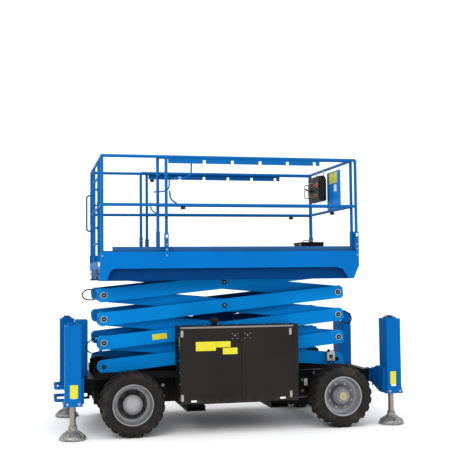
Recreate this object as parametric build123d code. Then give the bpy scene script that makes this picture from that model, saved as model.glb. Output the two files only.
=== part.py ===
from build123d import *
import math
import os

# Self-propelled rough-terrain scissor lift, in millimetres.
# X runs along the machine towards the steered wheels and the deck extension.
# Y runs across it and the entry ladder is at the low X end. Z is up from the floor.

# Driving dimensions, read from the photograph and from what such lifts measure.
wheelbase = 2240
rear_axle_x = -1090
tyre_radius = 330
tyre_width = 305
track_outside = 1750
rim_radius = 210

arm_length = 2592
arm_height = 140
arm_thickness = 75
level_spacing = 248
bottom_pin_height = 689
fixed_pin_x = 1224
outer_arm_face = 530
arm_gap = 8
arm_end = 62
arm_clip = 26
pin_radius = 25

frame_bottom = 290
frame_top = 571
frame_rail_outside = 400
frame_rail_width = 100

platform_rear = -1417
platform_front = 1377
platform_half_width = 800
deck_over_pins = 109
skirt_depth = 81
skirt_lip = 91
guardrail_height = 1099
mid_rail_height = 595
rail_radius = 16
toe_board_height = 145
extension_rear = -1285

column_width = 160
column_depth = 208
column_bottom = 340
column_top = 1142
column_y = 746
rear_overhang = 598
front_overhang = 587
frame_nose = 410
pad_radius = 135

box_rear = -611
box_front = 673
box_outside = 870
box_inside = 566
box_bottom = 312
box_top = 1105
panel = 5

# Sizes that follow from those above.
front_axle_x = rear_axle_x + wheelbase
rear_column_x = rear_axle_x - rear_overhang
front_column_x = front_axle_x + front_overhang
axle_height = tyre_radius
tyre_y = (track_outside - tyre_width) / 2
arm_run = math.sqrt(arm_length**2 - level_spacing**2)
slide_pin_x = fixed_pin_x - arm_run
arm_centre_x = fixed_pin_x - arm_run / 2
tilt = math.degrees(math.asin(level_spacing / arm_length))
inner_arm_face = outer_arm_face - arm_thickness - arm_gap
track_outside_y = inner_arm_face - arm_thickness - 12
block_half = 42
block_half_length = 48


def pin_height(level):
    return bottom_pin_height + level * level_spacing


# The platform stands on the top pins, so its heights follow the arms.
deck_floor = pin_height(4) + deck_over_pins
skirt_bottom = deck_floor - skirt_depth
skirt_top = deck_floor + skirt_lip
guardrail_top = deck_floor + guardrail_height
mid_rail_top = deck_floor + mid_rail_height
toe_board_top = deck_floor + toe_board_height


def box(x0, x1, y0, y1, z0, z1):
    size = Box(x1 - x0, y1 - y0, z1 - z0)
    return Pos((x0 + x1) / 2, (y0 + y1) / 2, (z0 + z1) / 2) * size


def both_sides(shape):
    return shape + mirror(shape, about=Plane.XZ)


def rod_y(radius, x, z, y0, y1):
    turned = Rot(90, 0, 0) * Cylinder(radius, y1 - y0)
    return Pos(x, (y0 + y1) / 2, z) * turned


def rod_x(radius, y, z, x0, x1):
    turned = Rot(0, 90, 0) * Cylinder(radius, x1 - x0)
    return Pos((x0 + x1) / 2, y, z) * turned


def rod_z(radius, x, y, z0, z1):
    return Pos(x, y, (z0 + z1) / 2) * Cylinder(radius, z1 - z0)


def plate_y(points, y0, y1):
    # A flat plate whose outline is given in X and Z, standing across Y.
    outline = Polyline(*[(x, 0, z) for x, z in points], close=True)
    face = make_face(outline)
    return Pos(0, y0, 0) * extrude(face, amount=y1 - y0, dir=(0, 1, 0))


def turned_y(profile, x, y, z):
    # A turned body on an axis along Y, from points of radius and distance outwards.
    outline = Polyline(*[(r, d, 0) for r, d in profile], close=True)
    body = revolve(make_face(outline), Axis.Y)
    return Pos(x, y, z) * body


os.makedirs("parts", exist_ok=True)


def save(name, shape):
    export_step(shape, f"parts/{name}.step")


# Chassis frame: two long rails with arches over the axles, cross members,
# shelves beside the scissor arms, slide tracks, the fixed clevis and fork pockets.
frame_rear = slide_pin_x - 95
frame_front = front_axle_x + frame_nose
axle_half = 60
axle_seat = 65
arch_top = axle_height + axle_seat
arch_half = axle_half + 6
rail_points = [
    (frame_rear, frame_bottom),
    (rear_axle_x - arch_half, frame_bottom),
    (rear_axle_x - arch_half, arch_top),
    (rear_axle_x + arch_half, arch_top),
    (rear_axle_x + arch_half, frame_bottom),
    (front_axle_x - arch_half, frame_bottom),
    (front_axle_x - arch_half, arch_top),
    (front_axle_x + arch_half, arch_top),
    (front_axle_x + arch_half, frame_bottom + 20),
    (frame_front, frame_bottom + 60),
    (frame_front, frame_top - 40),
    (frame_front - 120, frame_top),
    (frame_rear, frame_top),
]
rail = plate_y(rail_points, frame_rail_outside - frame_rail_width, frame_rail_outside)
shelf_outside = outer_arm_face + 22
shelf_front = 700
shelf = box(frame_rear, shelf_front, frame_rail_outside, shelf_outside, frame_top - 12, frame_top)
lip = box(frame_rear, shelf_front, shelf_outside - 12, shelf_outside, frame_top, frame_top + 63)
track_inside_y = track_outside_y - 82
block_bottom = bottom_pin_height - block_half
block_top = bottom_pin_height + block_half
track_front = arm_centre_x + 220
track_bar = box(frame_rear, track_front, track_inside_y, track_outside_y, frame_top, block_bottom - 0.4)
track_wall = box(frame_rear, track_front, track_inside_y, track_inside_y + 10, frame_top, block_top - 20)
clevis_points = [
    (fixed_pin_x - 110, frame_top - 20),
    (fixed_pin_x + 110, frame_top - 20),
    (fixed_pin_x + 60, bottom_pin_height + 50),
    (fixed_pin_x - 60, bottom_pin_height + 50),
]
inner_arm_back = inner_arm_face - arm_thickness
clevis_inner = plate_y(clevis_points, inner_arm_back - 22, inner_arm_back - 8)
clevis_outer = plate_y(clevis_points, inner_arm_face + 8, inner_arm_face + 20)
clevis_foot = box(
    fixed_pin_x - 110,
    fixed_pin_x + 110,
    frame_rail_outside - 40,
    inner_arm_face + 20,
    frame_top - 24,
    frame_top,
)
clevis_pin = rod_y(
    pin_radius, fixed_pin_x, bottom_pin_height, inner_arm_face - arm_thickness - 22, inner_arm_face + 20
)
valve_y = inner_arm_face + 20
valve_z = bottom_pin_height - 13
valve_block = box(fixed_pin_x - 130, fixed_pin_x - 42, valve_y, valve_y + 52, valve_z, valve_z + 96)
valve_cap = rod_y(21, fixed_pin_x - 86, valve_z + 48, valve_y + 50, valve_y + 66)
valve_foot = box(fixed_pin_x - 70, fixed_pin_x - 40, valve_y - 12, valve_y + 2, valve_z, valve_z + 59)
valve_block = valve_block + valve_cap + valve_foot
side = rail + shelf + lip + track_bar + track_wall
side = side + clevis_inner + clevis_outer + clevis_foot + clevis_pin
chassis = both_sides(side) + mirror(valve_block, about=Plane.XZ)
inner_rail_y = frame_rail_outside - frame_rail_width
for cross_x in (frame_rear + 45, -640, 740, frame_front - 60):
    chassis = chassis + box(
        cross_x - 45, cross_x + 45, -inner_rail_y, inner_rail_y, frame_bottom + 90, frame_top - 50
    )
pocket_half = 97
pocket_bottom = 235
pocket_reach = 800
for pocket_x in (-435, 462):
    outside = box(
        pocket_x - pocket_half,
        pocket_x + pocket_half,
        -pocket_reach,
        pocket_reach,
        pocket_bottom,
        frame_bottom,
    )
    hollow = box(
        pocket_x - pocket_half + 6,
        pocket_x + pocket_half - 6,
        -pocket_reach - 10,
        pocket_reach + 10,
        pocket_bottom + 6,
        frame_bottom - 6,
    )
    chassis = chassis + (outside - hollow)
    hanger = box(
        pocket_x - pocket_half,
        pocket_x + pocket_half,
        frame_rail_outside - 10,
        box_inside + 60,
        frame_bottom,
        box_bottom,
    )
    chassis = chassis + both_sides(hanger)
# End beams that carry the outrigger brackets.
beam_bottom = 430
beam_top = 560
bracket_depth = 30
rear_beam_x = rear_column_x + column_width / 2 + bracket_depth
front_beam_x = front_column_x - column_width / 2 - bracket_depth
chassis = chassis + box(rear_beam_x, frame_rear + 10, -460, 460, beam_bottom, beam_top)
chassis = chassis + box(frame_front - 10, front_beam_x, -400, 400, beam_bottom, beam_top)
# Tie-down eyes hang under both end beams.
eye_radius = 20
eye_plate = 16
eye_z = beam_bottom - 48
for eye_x in (rear_beam_x + 45, front_beam_x - 45):
    eye = box(eye_x - 42, eye_x + 42, 300, 300 + eye_plate, eye_z - 42, beam_bottom + 20)
    eye = eye - rod_y(eye_radius, eye_x, eye_z, 290, 310 + eye_plate)
    chassis = chassis + both_sides(eye)
save("chassis_frame", chassis)

# Outrigger housings: four square tubes with the jack leg inside, each on a
# bracket that reaches to the chassis end beam.
wall = 8
collar_height = 72
collar_flare = 16
cap_half_x = 52
cap_half_y = 70
gusset = 10


def outrigger_housing(column_x, inward, side_sign):
    centre_y = side_sign * column_y
    outside = Pos(column_x, centre_y, (column_bottom + column_top) / 2) * Box(
        column_width, column_depth, column_top - column_bottom
    )
    hollow = Pos(column_x, centre_y, (column_bottom + column_top) / 2 - wall) * Box(
        column_width - 2 * wall, column_depth - 2 * wall, column_top - column_bottom
    )
    column = outside - hollow
    guide_points = column_bottom + 60
    guide = box(
        column_x - column_width / 2,
        column_x + column_width / 2,
        centre_y - column_depth / 2,
        centre_y + column_depth / 2,
        guide_points,
        guide_points + 50,
    )
    column = column + (guide - rod_z(30.06, column_x, centre_y, guide_points - 5, guide_points + 60))
    # A collar that flares out round the foot of the tube.
    low_rim = Plane.XY * Rectangle(column_width + 2 * collar_flare, column_depth + 2 * collar_flare)
    high_rim = Plane.XY.offset(collar_height) * Rectangle(column_width + 2, column_depth + 2)
    collar = loft([fillet(low_rim.vertices(), 10), fillet(high_rim.vertices(), 4)])
    collar = Pos(column_x, centre_y, column_bottom) * collar
    column = column + (collar - Pos(0, 0, -wall) * outside)
    cap = Pos(column_x, centre_y, column_top + 8) * Box(2 * cap_half_x, 2 * cap_half_y, 16)
    column = column + fillet(cap.edges().filter_by(Axis.Z), 12)
    # The arm that carries the column: a deep plate, pinned at the end beam,
    # whose lower edge tapers up towards the middle, with a flange on either edge.
    near_x = column_x + inward * column_width / 2
    far_x = near_x + inward * bracket_depth
    x0, x1 = min(near_x, far_x), max(near_x, far_x)
    reach_y = column_y + 60
    outline = [
        (side_sign * 300, beam_bottom - 10),
        (side_sign * 470, beam_bottom - 10),
        (side_sign * 640, column_bottom + 18),
        (side_sign * reach_y, column_bottom + 18),
        (side_sign * reach_y, beam_top + 60),
        (side_sign * 620, beam_top + 60),
        (side_sign * 470, beam_top + 8),
        (side_sign * 300, beam_top + 8),
    ]
    face = make_face(Polyline(*[(0, y, z) for y, z in outline], close=True))
    bracket = Pos(x0, 0, 0) * extrude(face, amount=x1 - x0, dir=(1, 0, 0))
    for hole_y in (420, 560):
        bracket = bracket - rod_x(24, side_sign * hole_y, 490, x0 - 5, x1 + 5)
    return column + bracket


for end_name, column_x, inward in (("rear", rear_column_x, 1), ("front", front_column_x, -1)):
    for side_name, side_sign in (("near", -1), ("far", 1)):
        housing = outrigger_housing(column_x, inward, side_sign)
        save(f"outrigger_housing_{end_name}_{side_name}", housing)

# Jack legs with their domed pads.
pad_clear = 6
pad_height = 88
leg_top = 925
for end_name, column_x in (("rear", rear_column_x), ("front", front_column_x)):
    for side_name, side_sign in (("near", -1), ("far", 1)):
        centre_y = side_sign * column_y
        leg = rod_z(30, column_x, centre_y, pad_clear + 70, leg_top)
        leg = leg + rod_z(42, column_x, centre_y, leg_top - 120, leg_top)
        save(f"jack_leg_{end_name}_{side_name}", leg)
        dome = [
            (0, 0),
            (pad_radius, 0),
            (pad_radius, 16),
            (pad_radius - 12, 34),
            (60, pad_height - 14),
            (44, pad_height),
            (44, pad_height + 36),
            (30.3, pad_height + 36),
            (30.3, 69),
            (0, 69),
        ]
        outline = Polyline(*[(r, 0, z) for r, z in dome], close=True)
        pad = revolve(make_face(outline), Axis.Z)
        for turn in range(6):
            rib_outline = [(40, 10), (pad_radius - 14, 10), (pad_radius - 14, 44), (40, pad_height + 8)]
            rib = plate_y(rib_outline, -5, 5)
            pad = pad + Rot(0, 0, 60 * turn + 30) * rib
        pad = Pos(column_x, centre_y, pad_clear) * pad
        save(f"jack_pad_{end_name}_{side_name}", pad)

# Entry ladder and ground control housing at the rear.
ladder_half = 225
step_front = -1855
ladder = box(rear_beam_x - 12, rear_beam_x, -ladder_half, ladder_half, 300, beam_top)
for step_z in (320, 450):
    tread = box(step_front, rear_beam_x - 12, -ladder_half, ladder_half, step_z - 16, step_z + 16)
    rung_edges = tread.edges().filter_by(Axis.Z).sort_by(Axis.X)[:2]
    tread = fillet(rung_edges, 50)
    tread = tread - box(
        step_front + 30, rear_beam_x - 40, 30 - ladder_half, ladder_half - 30, step_z - 20, step_z + 20
    )
    ladder = ladder + tread
save("entry_ladder", ladder)
ground_box = box(-1629, -1500, -140, 140, beam_top, 1160)
save("ground_control_housing", ground_box)

# Axles, knuckles and wheels.
spindle_radius = 40
king_y = 600
hub_face = 655
rear_axle = box(
    rear_axle_x - axle_half,
    rear_axle_x + axle_half,
    -560,
    560,
    axle_height - axle_half,
    axle_height + axle_seat,
)
rear_axle = rear_axle + rod_y(110, rear_axle_x, axle_height, 500, hub_face)
rear_axle = rear_axle + rod_y(110, rear_axle_x, axle_height, -hub_face, -500)
rear_axle = rear_axle + rod_y(spindle_radius, rear_axle_x, axle_height, -780, 780)
save("rear_axle", rear_axle)

front_axle = box(
    front_axle_x - axle_half,
    front_axle_x + axle_half,
    -520,
    520,
    axle_height - axle_half,
    axle_height + axle_seat,
)
yoke_low = box(front_axle_x - 45, front_axle_x + 45, 500, king_y + 38, axle_height - 90, axle_height - 66)
yoke_high = box(front_axle_x - 45, front_axle_x + 45, 500, king_y + 38, axle_height + 66, axle_height + 90)
yoke_back = box(front_axle_x - 45, front_axle_x + 45, 500, 530, axle_height - 90, axle_height + 90)
king_pin = rod_z(22, front_axle_x, king_y, axle_height - 90, axle_height + 90)
front_axle = front_axle + both_sides(yoke_low + yoke_high + yoke_back + king_pin)
save("front_axle", front_axle)

for side_name, side_sign in (("near", -1), ("far", 1)):
    y0, y1 = sorted((side_sign * (king_y - 40), side_sign * hub_face))
    knuckle = box(front_axle_x - 42, front_axle_x + 42, y0, y1, axle_height - 58, axle_height + 58)
    y0, y1 = sorted((side_sign * hub_face, side_sign * 780))
    knuckle = knuckle + rod_y(spindle_radius, front_axle_x, axle_height, y0 - 5, y1 + 5)
    y0, y1 = sorted((side_sign * (king_y - 60), side_sign * (king_y - 30)))
    knuckle = knuckle - rod_z(22.05, front_axle_x, side_sign * king_y, 0, 700)
    save(f"steering_knuckle_{side_name}", knuckle)

half_tyre = tyre_width / 2
tyre_profile = [
    (rim_radius, -half_tyre + 30),
    (rim_radius + 14, -half_tyre + 8),
    (tyre_radius - 45, -half_tyre),
    (tyre_radius - 14, -half_tyre + 12),
    (tyre_radius, -half_tyre + 34),
    (tyre_radius, half_tyre - 34),
    (tyre_radius - 14, half_tyre - 12),
    (tyre_radius - 45, half_tyre),
    (rim_radius + 14, half_tyre - 8),
    (rim_radius, half_tyre - 30),
]
rim_edge = half_tyre - 22
rim_profile = [
    (spindle_radius + 0.06, -62),
    (70, -62),
    (70, 10),
    (rim_radius - 26, 18),
    (rim_radius - 12, -rim_edge),
    (rim_radius - 0.3, -rim_edge),
    (rim_radius - 0.3, rim_edge),
    (rim_radius - 12, rim_edge),
    (rim_radius - 26, 34),
    (110, 34),
    (100, 96),
    (70, 130),
    (0, 130),
    (0, 90),
    (spindle_radius + 0.06, 90),
]
for end_name, wheel_x in (("rear", rear_axle_x), ("front", front_axle_x)):
    for side_name, side_sign in (("near", -1), ("far", 1)):
        tyre = turned_y(tyre_profile, wheel_x, side_sign * tyre_y, axle_height)
        save(f"tyre_{end_name}_{side_name}", tyre)
        profile = [(r, side_sign * d) for r, d in rim_profile]
        rim = turned_y(profile, wheel_x, side_sign * tyre_y, axle_height)
        save(f"rim_{end_name}_{side_name}", rim)

# Side boxes: open trays with two doors each. One holds the engine, the other the tank.
door_top = box_top - 22
door_bottom = box_bottom + 8
door_split = 33
door_front = box_front - 90
door_gap = 5
slot_rows = 8
slot_pitch = 52
slot_height = 14
slot_length = 150


def side_box(side_sign):
    y0 = side_sign * box_inside
    y1 = side_sign * (box_outside - panel - door_gap)
    lo, hi = min(y0, y1), max(y0, y1)
    outside = box(box_rear, box_front, lo, hi, box_bottom, box_top)
    front_edges = outside.edges().filter_by(Axis.Z).sort_by(Axis.X)[-2:]
    outer_edge = front_edges.sort_by(Axis.Y)[0 if side_sign < 0 else -1]
    outside = fillet(outer_edge, 60)
    inner_lo = lo + panel if side_sign > 0 else lo - 20
    inner_hi = hi + 20 if side_sign > 0 else hi - panel
    cavity = box(
        box_rear + panel, door_front - 6, inner_lo, inner_hi, box_bottom + panel, box_top - panel
    )
    end_cavity = box(
        door_front - 6,
        box_front - panel,
        lo + panel,
        hi - panel,
        box_bottom + panel,
        box_top - panel,
    )
    shell = outside - cavity - (end_cavity & Pos(0, -side_sign * panel, 0) * outside)
    # Air slots punched through the end panel.
    slot_y = sorted((side_sign * (box_inside + 50), side_sign * (box_inside + 50 + slot_length)))
    for row in range(slot_rows):
        slot_z = box_bottom + 250 + row * slot_pitch
        shell = shell - box(box_rear - 5, box_rear + panel + 5, *slot_y, slot_z, slot_z + slot_height)
    post = side_sign * (box_outside - panel - door_gap)
    mullion = box(
        door_split - 20, door_split + 20, min(post, post - side_sign * 30), max(post, post - side_sign * 30),
        box_bottom + 1, box_top - 1,
    )
    return shell + mullion


# Door hinges: the box carries the pins and the outer knuckles, the door the middle one.
hinge_radius = 6
hinge_pin = 3
hinge_y = box_outside - 4
rear_hinge_x = box_rear - 7
front_hinge_x = door_front + 10
hinge_heights = (box_bottom + 70, box_top - 70)
intake_x = -197
intake_y = 612
intake_top = 1190
intake_stem = 26
intake_hood = 54
latch_half = 34
latch_z = door_top - 82
for side_name, side_sign in (("near", -1), ("far", 1)):
    y0, y1 = sorted((side_sign * (box_outside - panel), side_sign * box_outside))
    rear_door = box(box_rear + 3, door_split - 2, y0, y1, door_bottom, door_top)
    front_door = box(door_split + 2, door_front, y0, y1, door_bottom, door_top)
    body = side_box(side_sign)
    # A paddle latch stands on each door beside the split.
    out0, out1 = sorted((side_sign * (box_outside - 1), side_sign * (box_outside + 4)))
    for latch_x in (door_split - 68, door_split + 68):
        plate = box(latch_x - latch_half, latch_x + latch_half, out0, out1, latch_z - 30, latch_z + 30)
        plate = plate - box(latch_x - 24, latch_x + 24, out0 - 5, out1 + 5, latch_z - 14, latch_z + 20)
        if latch_x < door_split:
            rear_door = rear_door + plate
        else:
            front_door = front_door + plate
    axis_y = side_sign * hinge_y
    for z in hinge_heights:
        for hinge_x, edge_x in ((rear_hinge_x, box_rear + 3), (front_hinge_x, door_front)):
            knuckle = rod_z(hinge_radius, hinge_x, axis_y, z - 15, z + 15)
            leaf = box(min(hinge_x, edge_x), max(hinge_x, edge_x), y0, y1, z - 15, z + 15)
            knuckle = knuckle + leaf - rod_z(hinge_pin + 0.05, hinge_x, axis_y, z - 20, z + 20)
            if hinge_x == rear_hinge_x:
                rear_door = rear_door + knuckle
            else:
                front_door = front_door + knuckle
            body = body + rod_z(hinge_pin, hinge_x, axis_y, z - 32, z + 32)
            seat_x = box_rear + 2 if hinge_x == rear_hinge_x else hinge_x
            seat_y = side_sign * (box_outside - panel - door_gap - 4)
            for low in (z - 33, z + 17):
                body = body + rod_z(hinge_radius, hinge_x, axis_y, low, low + 16)
                seat = box(
                    min(hinge_x - 4, seat_x),
                    max(hinge_x + 4, seat_x),
                    min(seat_y, axis_y),
                    max(seat_y, axis_y),
                    low,
                    low + 16,
                )
                body = body + seat
    if side_name == "near":
        # The engine's air intake: a stem through the lid under a turned hood.
        stem = rod_z(intake_stem, intake_x, -intake_y, box_top - panel, intake_top - 24)
        hood = [
            (0, 0),
            (intake_stem + 4, 0),
            (intake_hood - 4, -14),
            (intake_hood, -10),
            (intake_hood, 6),
            (intake_hood - 10, 26),
            (20, 36),
            (0, 37),
        ]
        hood_outline = Polyline(*[(r, 0, z) for r, z in hood], close=True)
        turned = revolve(make_face(hood_outline), Axis.Z)
        body = body + stem + Pos(intake_x, -intake_y, intake_top - 37) * turned
    save(f"side_box_{side_name}", body)
    save(f"rear_door_{side_name}", rear_door)
    save(f"front_door_{side_name}", front_door)
engine = box(-520, 420, 640, 820, box_bottom + panel, 960)
save("engine_block", engine)
tank = box(-560, -60, -820, -640, box_bottom + panel, 980)
save("hydraulic_tank", tank)

# Scissor arms. Inner arms run from the fixed right pins up to the left,
# outer arms from the sliding left pins up to the right.
cross_radius = 42
# Cross tubes of each pair: distance from the arm's middle towards +X, offset up, radius.
cross_tubes = {
    (1, "inner"): [(-980, 0, 42), (980, 0, 42)],
    (1, "outer"): [(-650, 0, 30), (650, 0, 42)],
    (2, "inner"): [(-980, 0, 42), (980, 0, 42)],
    (2, "outer"): [(650, 0, 42)],
    (3, "inner"): [(-980, 0, 42), (980, 0, 42)],
    (3, "outer"): [(-650, 0, 42)],
    (4, "inner"): [(-740, -38, 30), (980, 0, 42)],
    (4, "outer"): [(-650, 0, 42), (650, 0, 42)],
}


def arm_pair(level, kind):
    z0 = pin_height(level - 1)
    centre = Pos(arm_centre_x, 0, z0 + level_spacing / 2)
    lean = tilt if kind == "inner" else -tilt
    # Rot turns about Y by the right-hand rule, which lowers the +X end.
    if kind == "inner":
        face_y = inner_arm_face
    else:
        face_y = outer_arm_face
    half = arm_length / 2
    reach = half + arm_end
    high = arm_height / 2
    low = high - arm_clip
    outline = [
        (-reach + arm_clip, -high),
        (reach - arm_clip, -high),
        (reach, -low),
        (reach, low),
        (reach - arm_clip, high),
        (-reach + arm_clip, high),
        (-reach, low),
        (-reach, -low),
    ]
    body = plate_y(outline, face_y - arm_thickness, face_y)
    if (level, kind) == (1, "outer"):
        body = body - box(-reach - 5, -half, face_y - 200, face_y + 5, -high - 5, high + 5)
        body = body + rod_y(high, -half, 0, face_y - arm_thickness, face_y)
    pair = both_sides(body)
    for along, up, radius in cross_tubes[(level, kind)]:
        pair = pair + rod_y(radius, along, up, -face_y + 5, face_y - 5)
    return pair, centre, lean


arm_shapes = {}
for level in (1, 2, 3, 4):
    for kind in ("inner", "outer"):
        pair, centre, lean = arm_pair(level, kind)
        half = arm_length / 2
        face_y = inner_arm_face if kind == "inner" else outer_arm_face
        back_y = face_y - arm_thickness
        # Bores for pins held by a neighbour, and stub pins that this pair holds.
        if kind == "inner":
            # centre and right pins are held by the outer arms, the left ones too
            for at in (-half, 0, half):
                hole = rod_y(pin_radius + (0.05 if at != -half else 0.8), at, 0, -900, 900)
                pair = pair - (hole & both_sides(box(at - 60, at + 60, back_y - 2, face_y + 2, -60, 60)))
        else:
            stub = rod_y(pin_radius, 0, 0, inner_arm_face - arm_thickness, back_y + 5)
            pair = pair + both_sides(stub)
            # Every pin ends in a turned collar on the outer face of the arm.
            collars = [0]
            if level < 4:
                collars.append(half)
            if level > 1:
                collars.append(-half)
            for at in collars:
                ring = rod_y(pin_radius + 9, at, 0, face_y - 2, face_y + 5)
                ring = ring - rod_y(pin_radius - 7, at, 0, face_y + 1, face_y + 10)
                pair = pair + both_sides(ring)
            right = rod_y(pin_radius, half, 0, inner_arm_face - arm_thickness, back_y + 5)
            if level < 4:
                pair = pair + both_sides(right)
            else:
                hole = rod_y(pin_radius + 0.05, half, 0, back_y - 2, face_y + 2)
                pair = pair - both_sides(hole)
            left = rod_y(pin_radius, -half, 0, inner_arm_face - arm_thickness, back_y + 5)
            if level > 1:
                pair = pair + both_sides(left)
            else:
                hole = rod_y(pin_radius + 0.05, -half, 0, back_y - 2, face_y + 2)
                pair = pair - both_sides(hole)
        arm_shapes[(level, kind)] = centre * (Rot(0, lean, 0) * pair)

# Lift cylinder between lugs on the second and third inner arms. Each pair of lugs
# stands out from a cross bar that brackets hold under or over the arms.
lift_base = (550, -100)
lift_eye = (-550, 100)
base_bar = (700, -100)
eye_bar = (-760, 100)
bar_radius = 40


def on_inner(level, along, up):
    # A point on the centre plane, measured from the arm's middle towards its left end.
    c = math.cos(math.radians(tilt))
    s = math.sin(math.radians(tilt))
    x = arm_centre_x - along * c + up * s
    z = pin_height(level - 1) + level_spacing / 2 + along * s + up * c
    return x, z


def link_plate(start, end, radius, y0, y1):
    # A plate with two round ends, joining two points of the centre plane.
    x0, z0 = start
    x1, z1 = end
    length = math.hypot(x1 - x0, z1 - z0)
    pitch = math.degrees(math.atan2(z1 - z0, x1 - x0))
    middle = Pos((x0 + x1) / 2, (y0 + y1) / 2, (z0 + z1) / 2)
    web = middle * (Rot(0, -pitch, 0) * Box(length, y1 - y0, 2 * radius))
    return web + rod_y(radius, x0, z0, y0, y1) + rod_y(radius, x1, z1, y0, y1)


base_x, base_z = on_inner(2, *lift_base)
eye_x, eye_z = on_inner(3, *lift_eye)
lug_gap = 45
lug_thickness = 18
lift_pin = 24
for level, point, bar, name in ((2, lift_base, base_bar, "base"), (3, lift_eye, eye_bar, "eye")):
    x, z = on_inner(level, *point)
    bar_x, bar_z = on_inner(level, *bar)
    arm_x, arm_z = on_inner(level, bar[0], 0)
    back_y = inner_arm_face - arm_thickness
    cross_bar = rod_y(bar_radius, bar_x, bar_z, -back_y, back_y)
    bracket = link_plate((arm_x, arm_z), (bar_x, bar_z), bar_radius + 6, back_y - 16, back_y)
    lug = link_plate((bar_x, bar_z), (x, z), 46, lug_gap, lug_gap + lug_thickness)
    shape = arm_shapes[(level, "inner")] + cross_bar + both_sides(bracket + lug)
    if name == "base":
        shape = shape + rod_y(lift_pin, x, z, -lug_gap - lug_thickness, lug_gap + lug_thickness)
    else:
        shape = shape - rod_y(lift_pin + 1, x, z, -lug_gap - lug_thickness - 5, lug_gap + lug_thickness + 5)
    arm_shapes[(level, "inner")] = shape

# Hose loops that stand out of the arm ends. Points: distance out of the arm's end face
# and height over the arm's middle, then the drift sideways.
hose_radius = 6
hose_y = -(inner_arm_face - arm_thickness / 2)
hose_routes = {
    "hose_upper_rear": (
        3,
        -1,
        [(0, 42, 0), (48, 50, 1), (98, 49, 4), (140, 28, 8), (158, -8, 9), (143, -44, 6), (100, -62, 3)]
        + [(48, -58, 1), (0, -46, 0)],
    ),
    "hose_lower_rear": (
        1,
        -1,
        [(0, 34, 0), (40, 30, 1), (78, 8, 4), (104, -28, 8), (108, -70, 10), (88, -106, 8), (50, -124, 4)]
        + [(8, -118, 1), (-30, -98, 0)],
    ),
    "hose_front": (
        3,
        1,
        [(0, 44, 0), (45, 44, 1), (90, 32, 4), (126, 6, 7), (148, -26, 9), (146, -62, 8), (118, -88, 6)]
        + [(78, -96, 3), (38, -86, 1), (0, -66, 0)],
    ),
}


def at_arm_end(level, end, out, up, aside):
    # A point given from an inner arm's end face; end is -1 at the rear and 1 at the front.
    lean = math.radians(tilt)
    along = arm_end + out
    pin_x = fixed_pin_x if end > 0 else slide_pin_x
    pin_z = pin_height(level - 1) if end > 0 else pin_height(level)
    x = pin_x + end * along * math.cos(lean) + up * math.sin(lean)
    z = pin_z - end * along * math.sin(lean) + up * math.cos(lean)
    return Vector(x, hose_y + aside, z)


def hose(points, name):
    radii = []
    for before, here, after in zip(points, points[1:], points[2:]):
        turn = (here - before).get_angle(after - here)
        shorter = min((here - before).length, (after - here).length)
        radii.append(0.45 * shorter / math.tan(math.radians(turn / 2)))
    path = FilletPolyline(*points, radius=radii)
    tube = sweep(Plane(path @ 0, z_dir=path % 0) * Circle(hose_radius), path=path)
    ideal = math.pi * hose_radius**2 * path.length
    print(name, "length", round(path.length), "radii", [round(r) for r in radii])
    print(name, "volume against section times length", round(tube.volume / ideal, 4))
    return tube


hose_tubes = {}
for name, (level, end, route) in hose_routes.items():
    points = [at_arm_end(level, end, *point) for point in route]
    hose_tubes[name] = hose(points, name)
    print(name, [(round(p.X, 1), round(p.Y, 1), round(p.Z, 1)) for p in points])
# The clip that holds the lower hose under its arm, and the glands in the end faces.
clip_middle = at_arm_end(1, -1, -44, -84, 0)
clip = Pos(clip_middle.X, hose_y, clip_middle.Z) * (Rot(0, tilt, 0) * Box(30, 26, 44))
arm_shapes[(1, "inner")] = arm_shapes[(1, "inner")] + clip
for level, end, height in ((3, -1, 42), (3, -1, -46), (1, -1, 34), (3, 1, 44), (3, 1, -60)):
    centre = at_arm_end(level, end, -4, height, 0)
    gland = Pos(centre.X, hose_y, centre.Z) * (Rot(0, 90 + tilt, 0) * Cylinder(hose_radius + 5, 20))
    arm_shapes[(level, "inner")] = arm_shapes[(level, "inner")] + gland

for name, tube in hose_tubes.items():
    save(name, tube)

for (level, kind), shape in arm_shapes.items():
    save(f"{kind}_arms_{level}", shape)

cylinder_length = math.hypot(eye_x - base_x, eye_z - base_z)
cylinder_pitch = math.degrees(math.atan2(eye_z - base_z, eye_x - base_x))
place = Pos(base_x, 0, base_z) * Rot(0, -cylinder_pitch, 0)
barrel_radius = 64
barrel_end = 930
barrel_start = 112
barrel = rod_x(barrel_radius, 0, 0, barrel_start, barrel_end)
barrel = barrel + rod_y(44, 0, 0, -lug_gap + 6, lug_gap - 6)
barrel = barrel + box(0, barrel_start + 10, -lug_gap + 6, lug_gap - 6, -43, 43)
barrel = barrel - rod_y(lift_pin + 0.05, 0, 0, -60, 60)
barrel = barrel - rod_x(42.05, 0, 0, 400, barrel_end + 5)
rod = rod_x(42, 0, 0, 440, cylinder_length - 40)
rod = rod + rod_y(42, cylinder_length, 0, -lug_gap + 10, lug_gap - 10)
rod = rod + box(cylinder_length - 60, cylinder_length, -lug_gap + 10, lug_gap - 10, -36, 36)
rod = rod - rod_y(lift_pin + 1, cylinder_length, 0, -60, 60)
save("lift_cylinder_barrel", place * barrel)
save("lift_cylinder_rod", place * rod)

# Slide blocks with their stub shafts, two at the bottom and two at the top.
for name, z, shaft_end in (
    ("bottom", pin_height(0), outer_arm_face),
    ("top", pin_height(4), inner_arm_face),
):
    stub = rod_y(pin_radius, slide_pin_x, z, track_outside_y - 20, shaft_end)
    block = box(
        slide_pin_x - block_half_length,
        slide_pin_x + block_half_length,
        track_inside_y + 11,
        track_outside_y - 1,
        z - block_half,
        z + block_half,
    )
    save(f"{name}_slide_block_far", block + stub)
    save(f"{name}_slide_block_near", mirror(block + stub, about=Plane.XZ))

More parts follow.
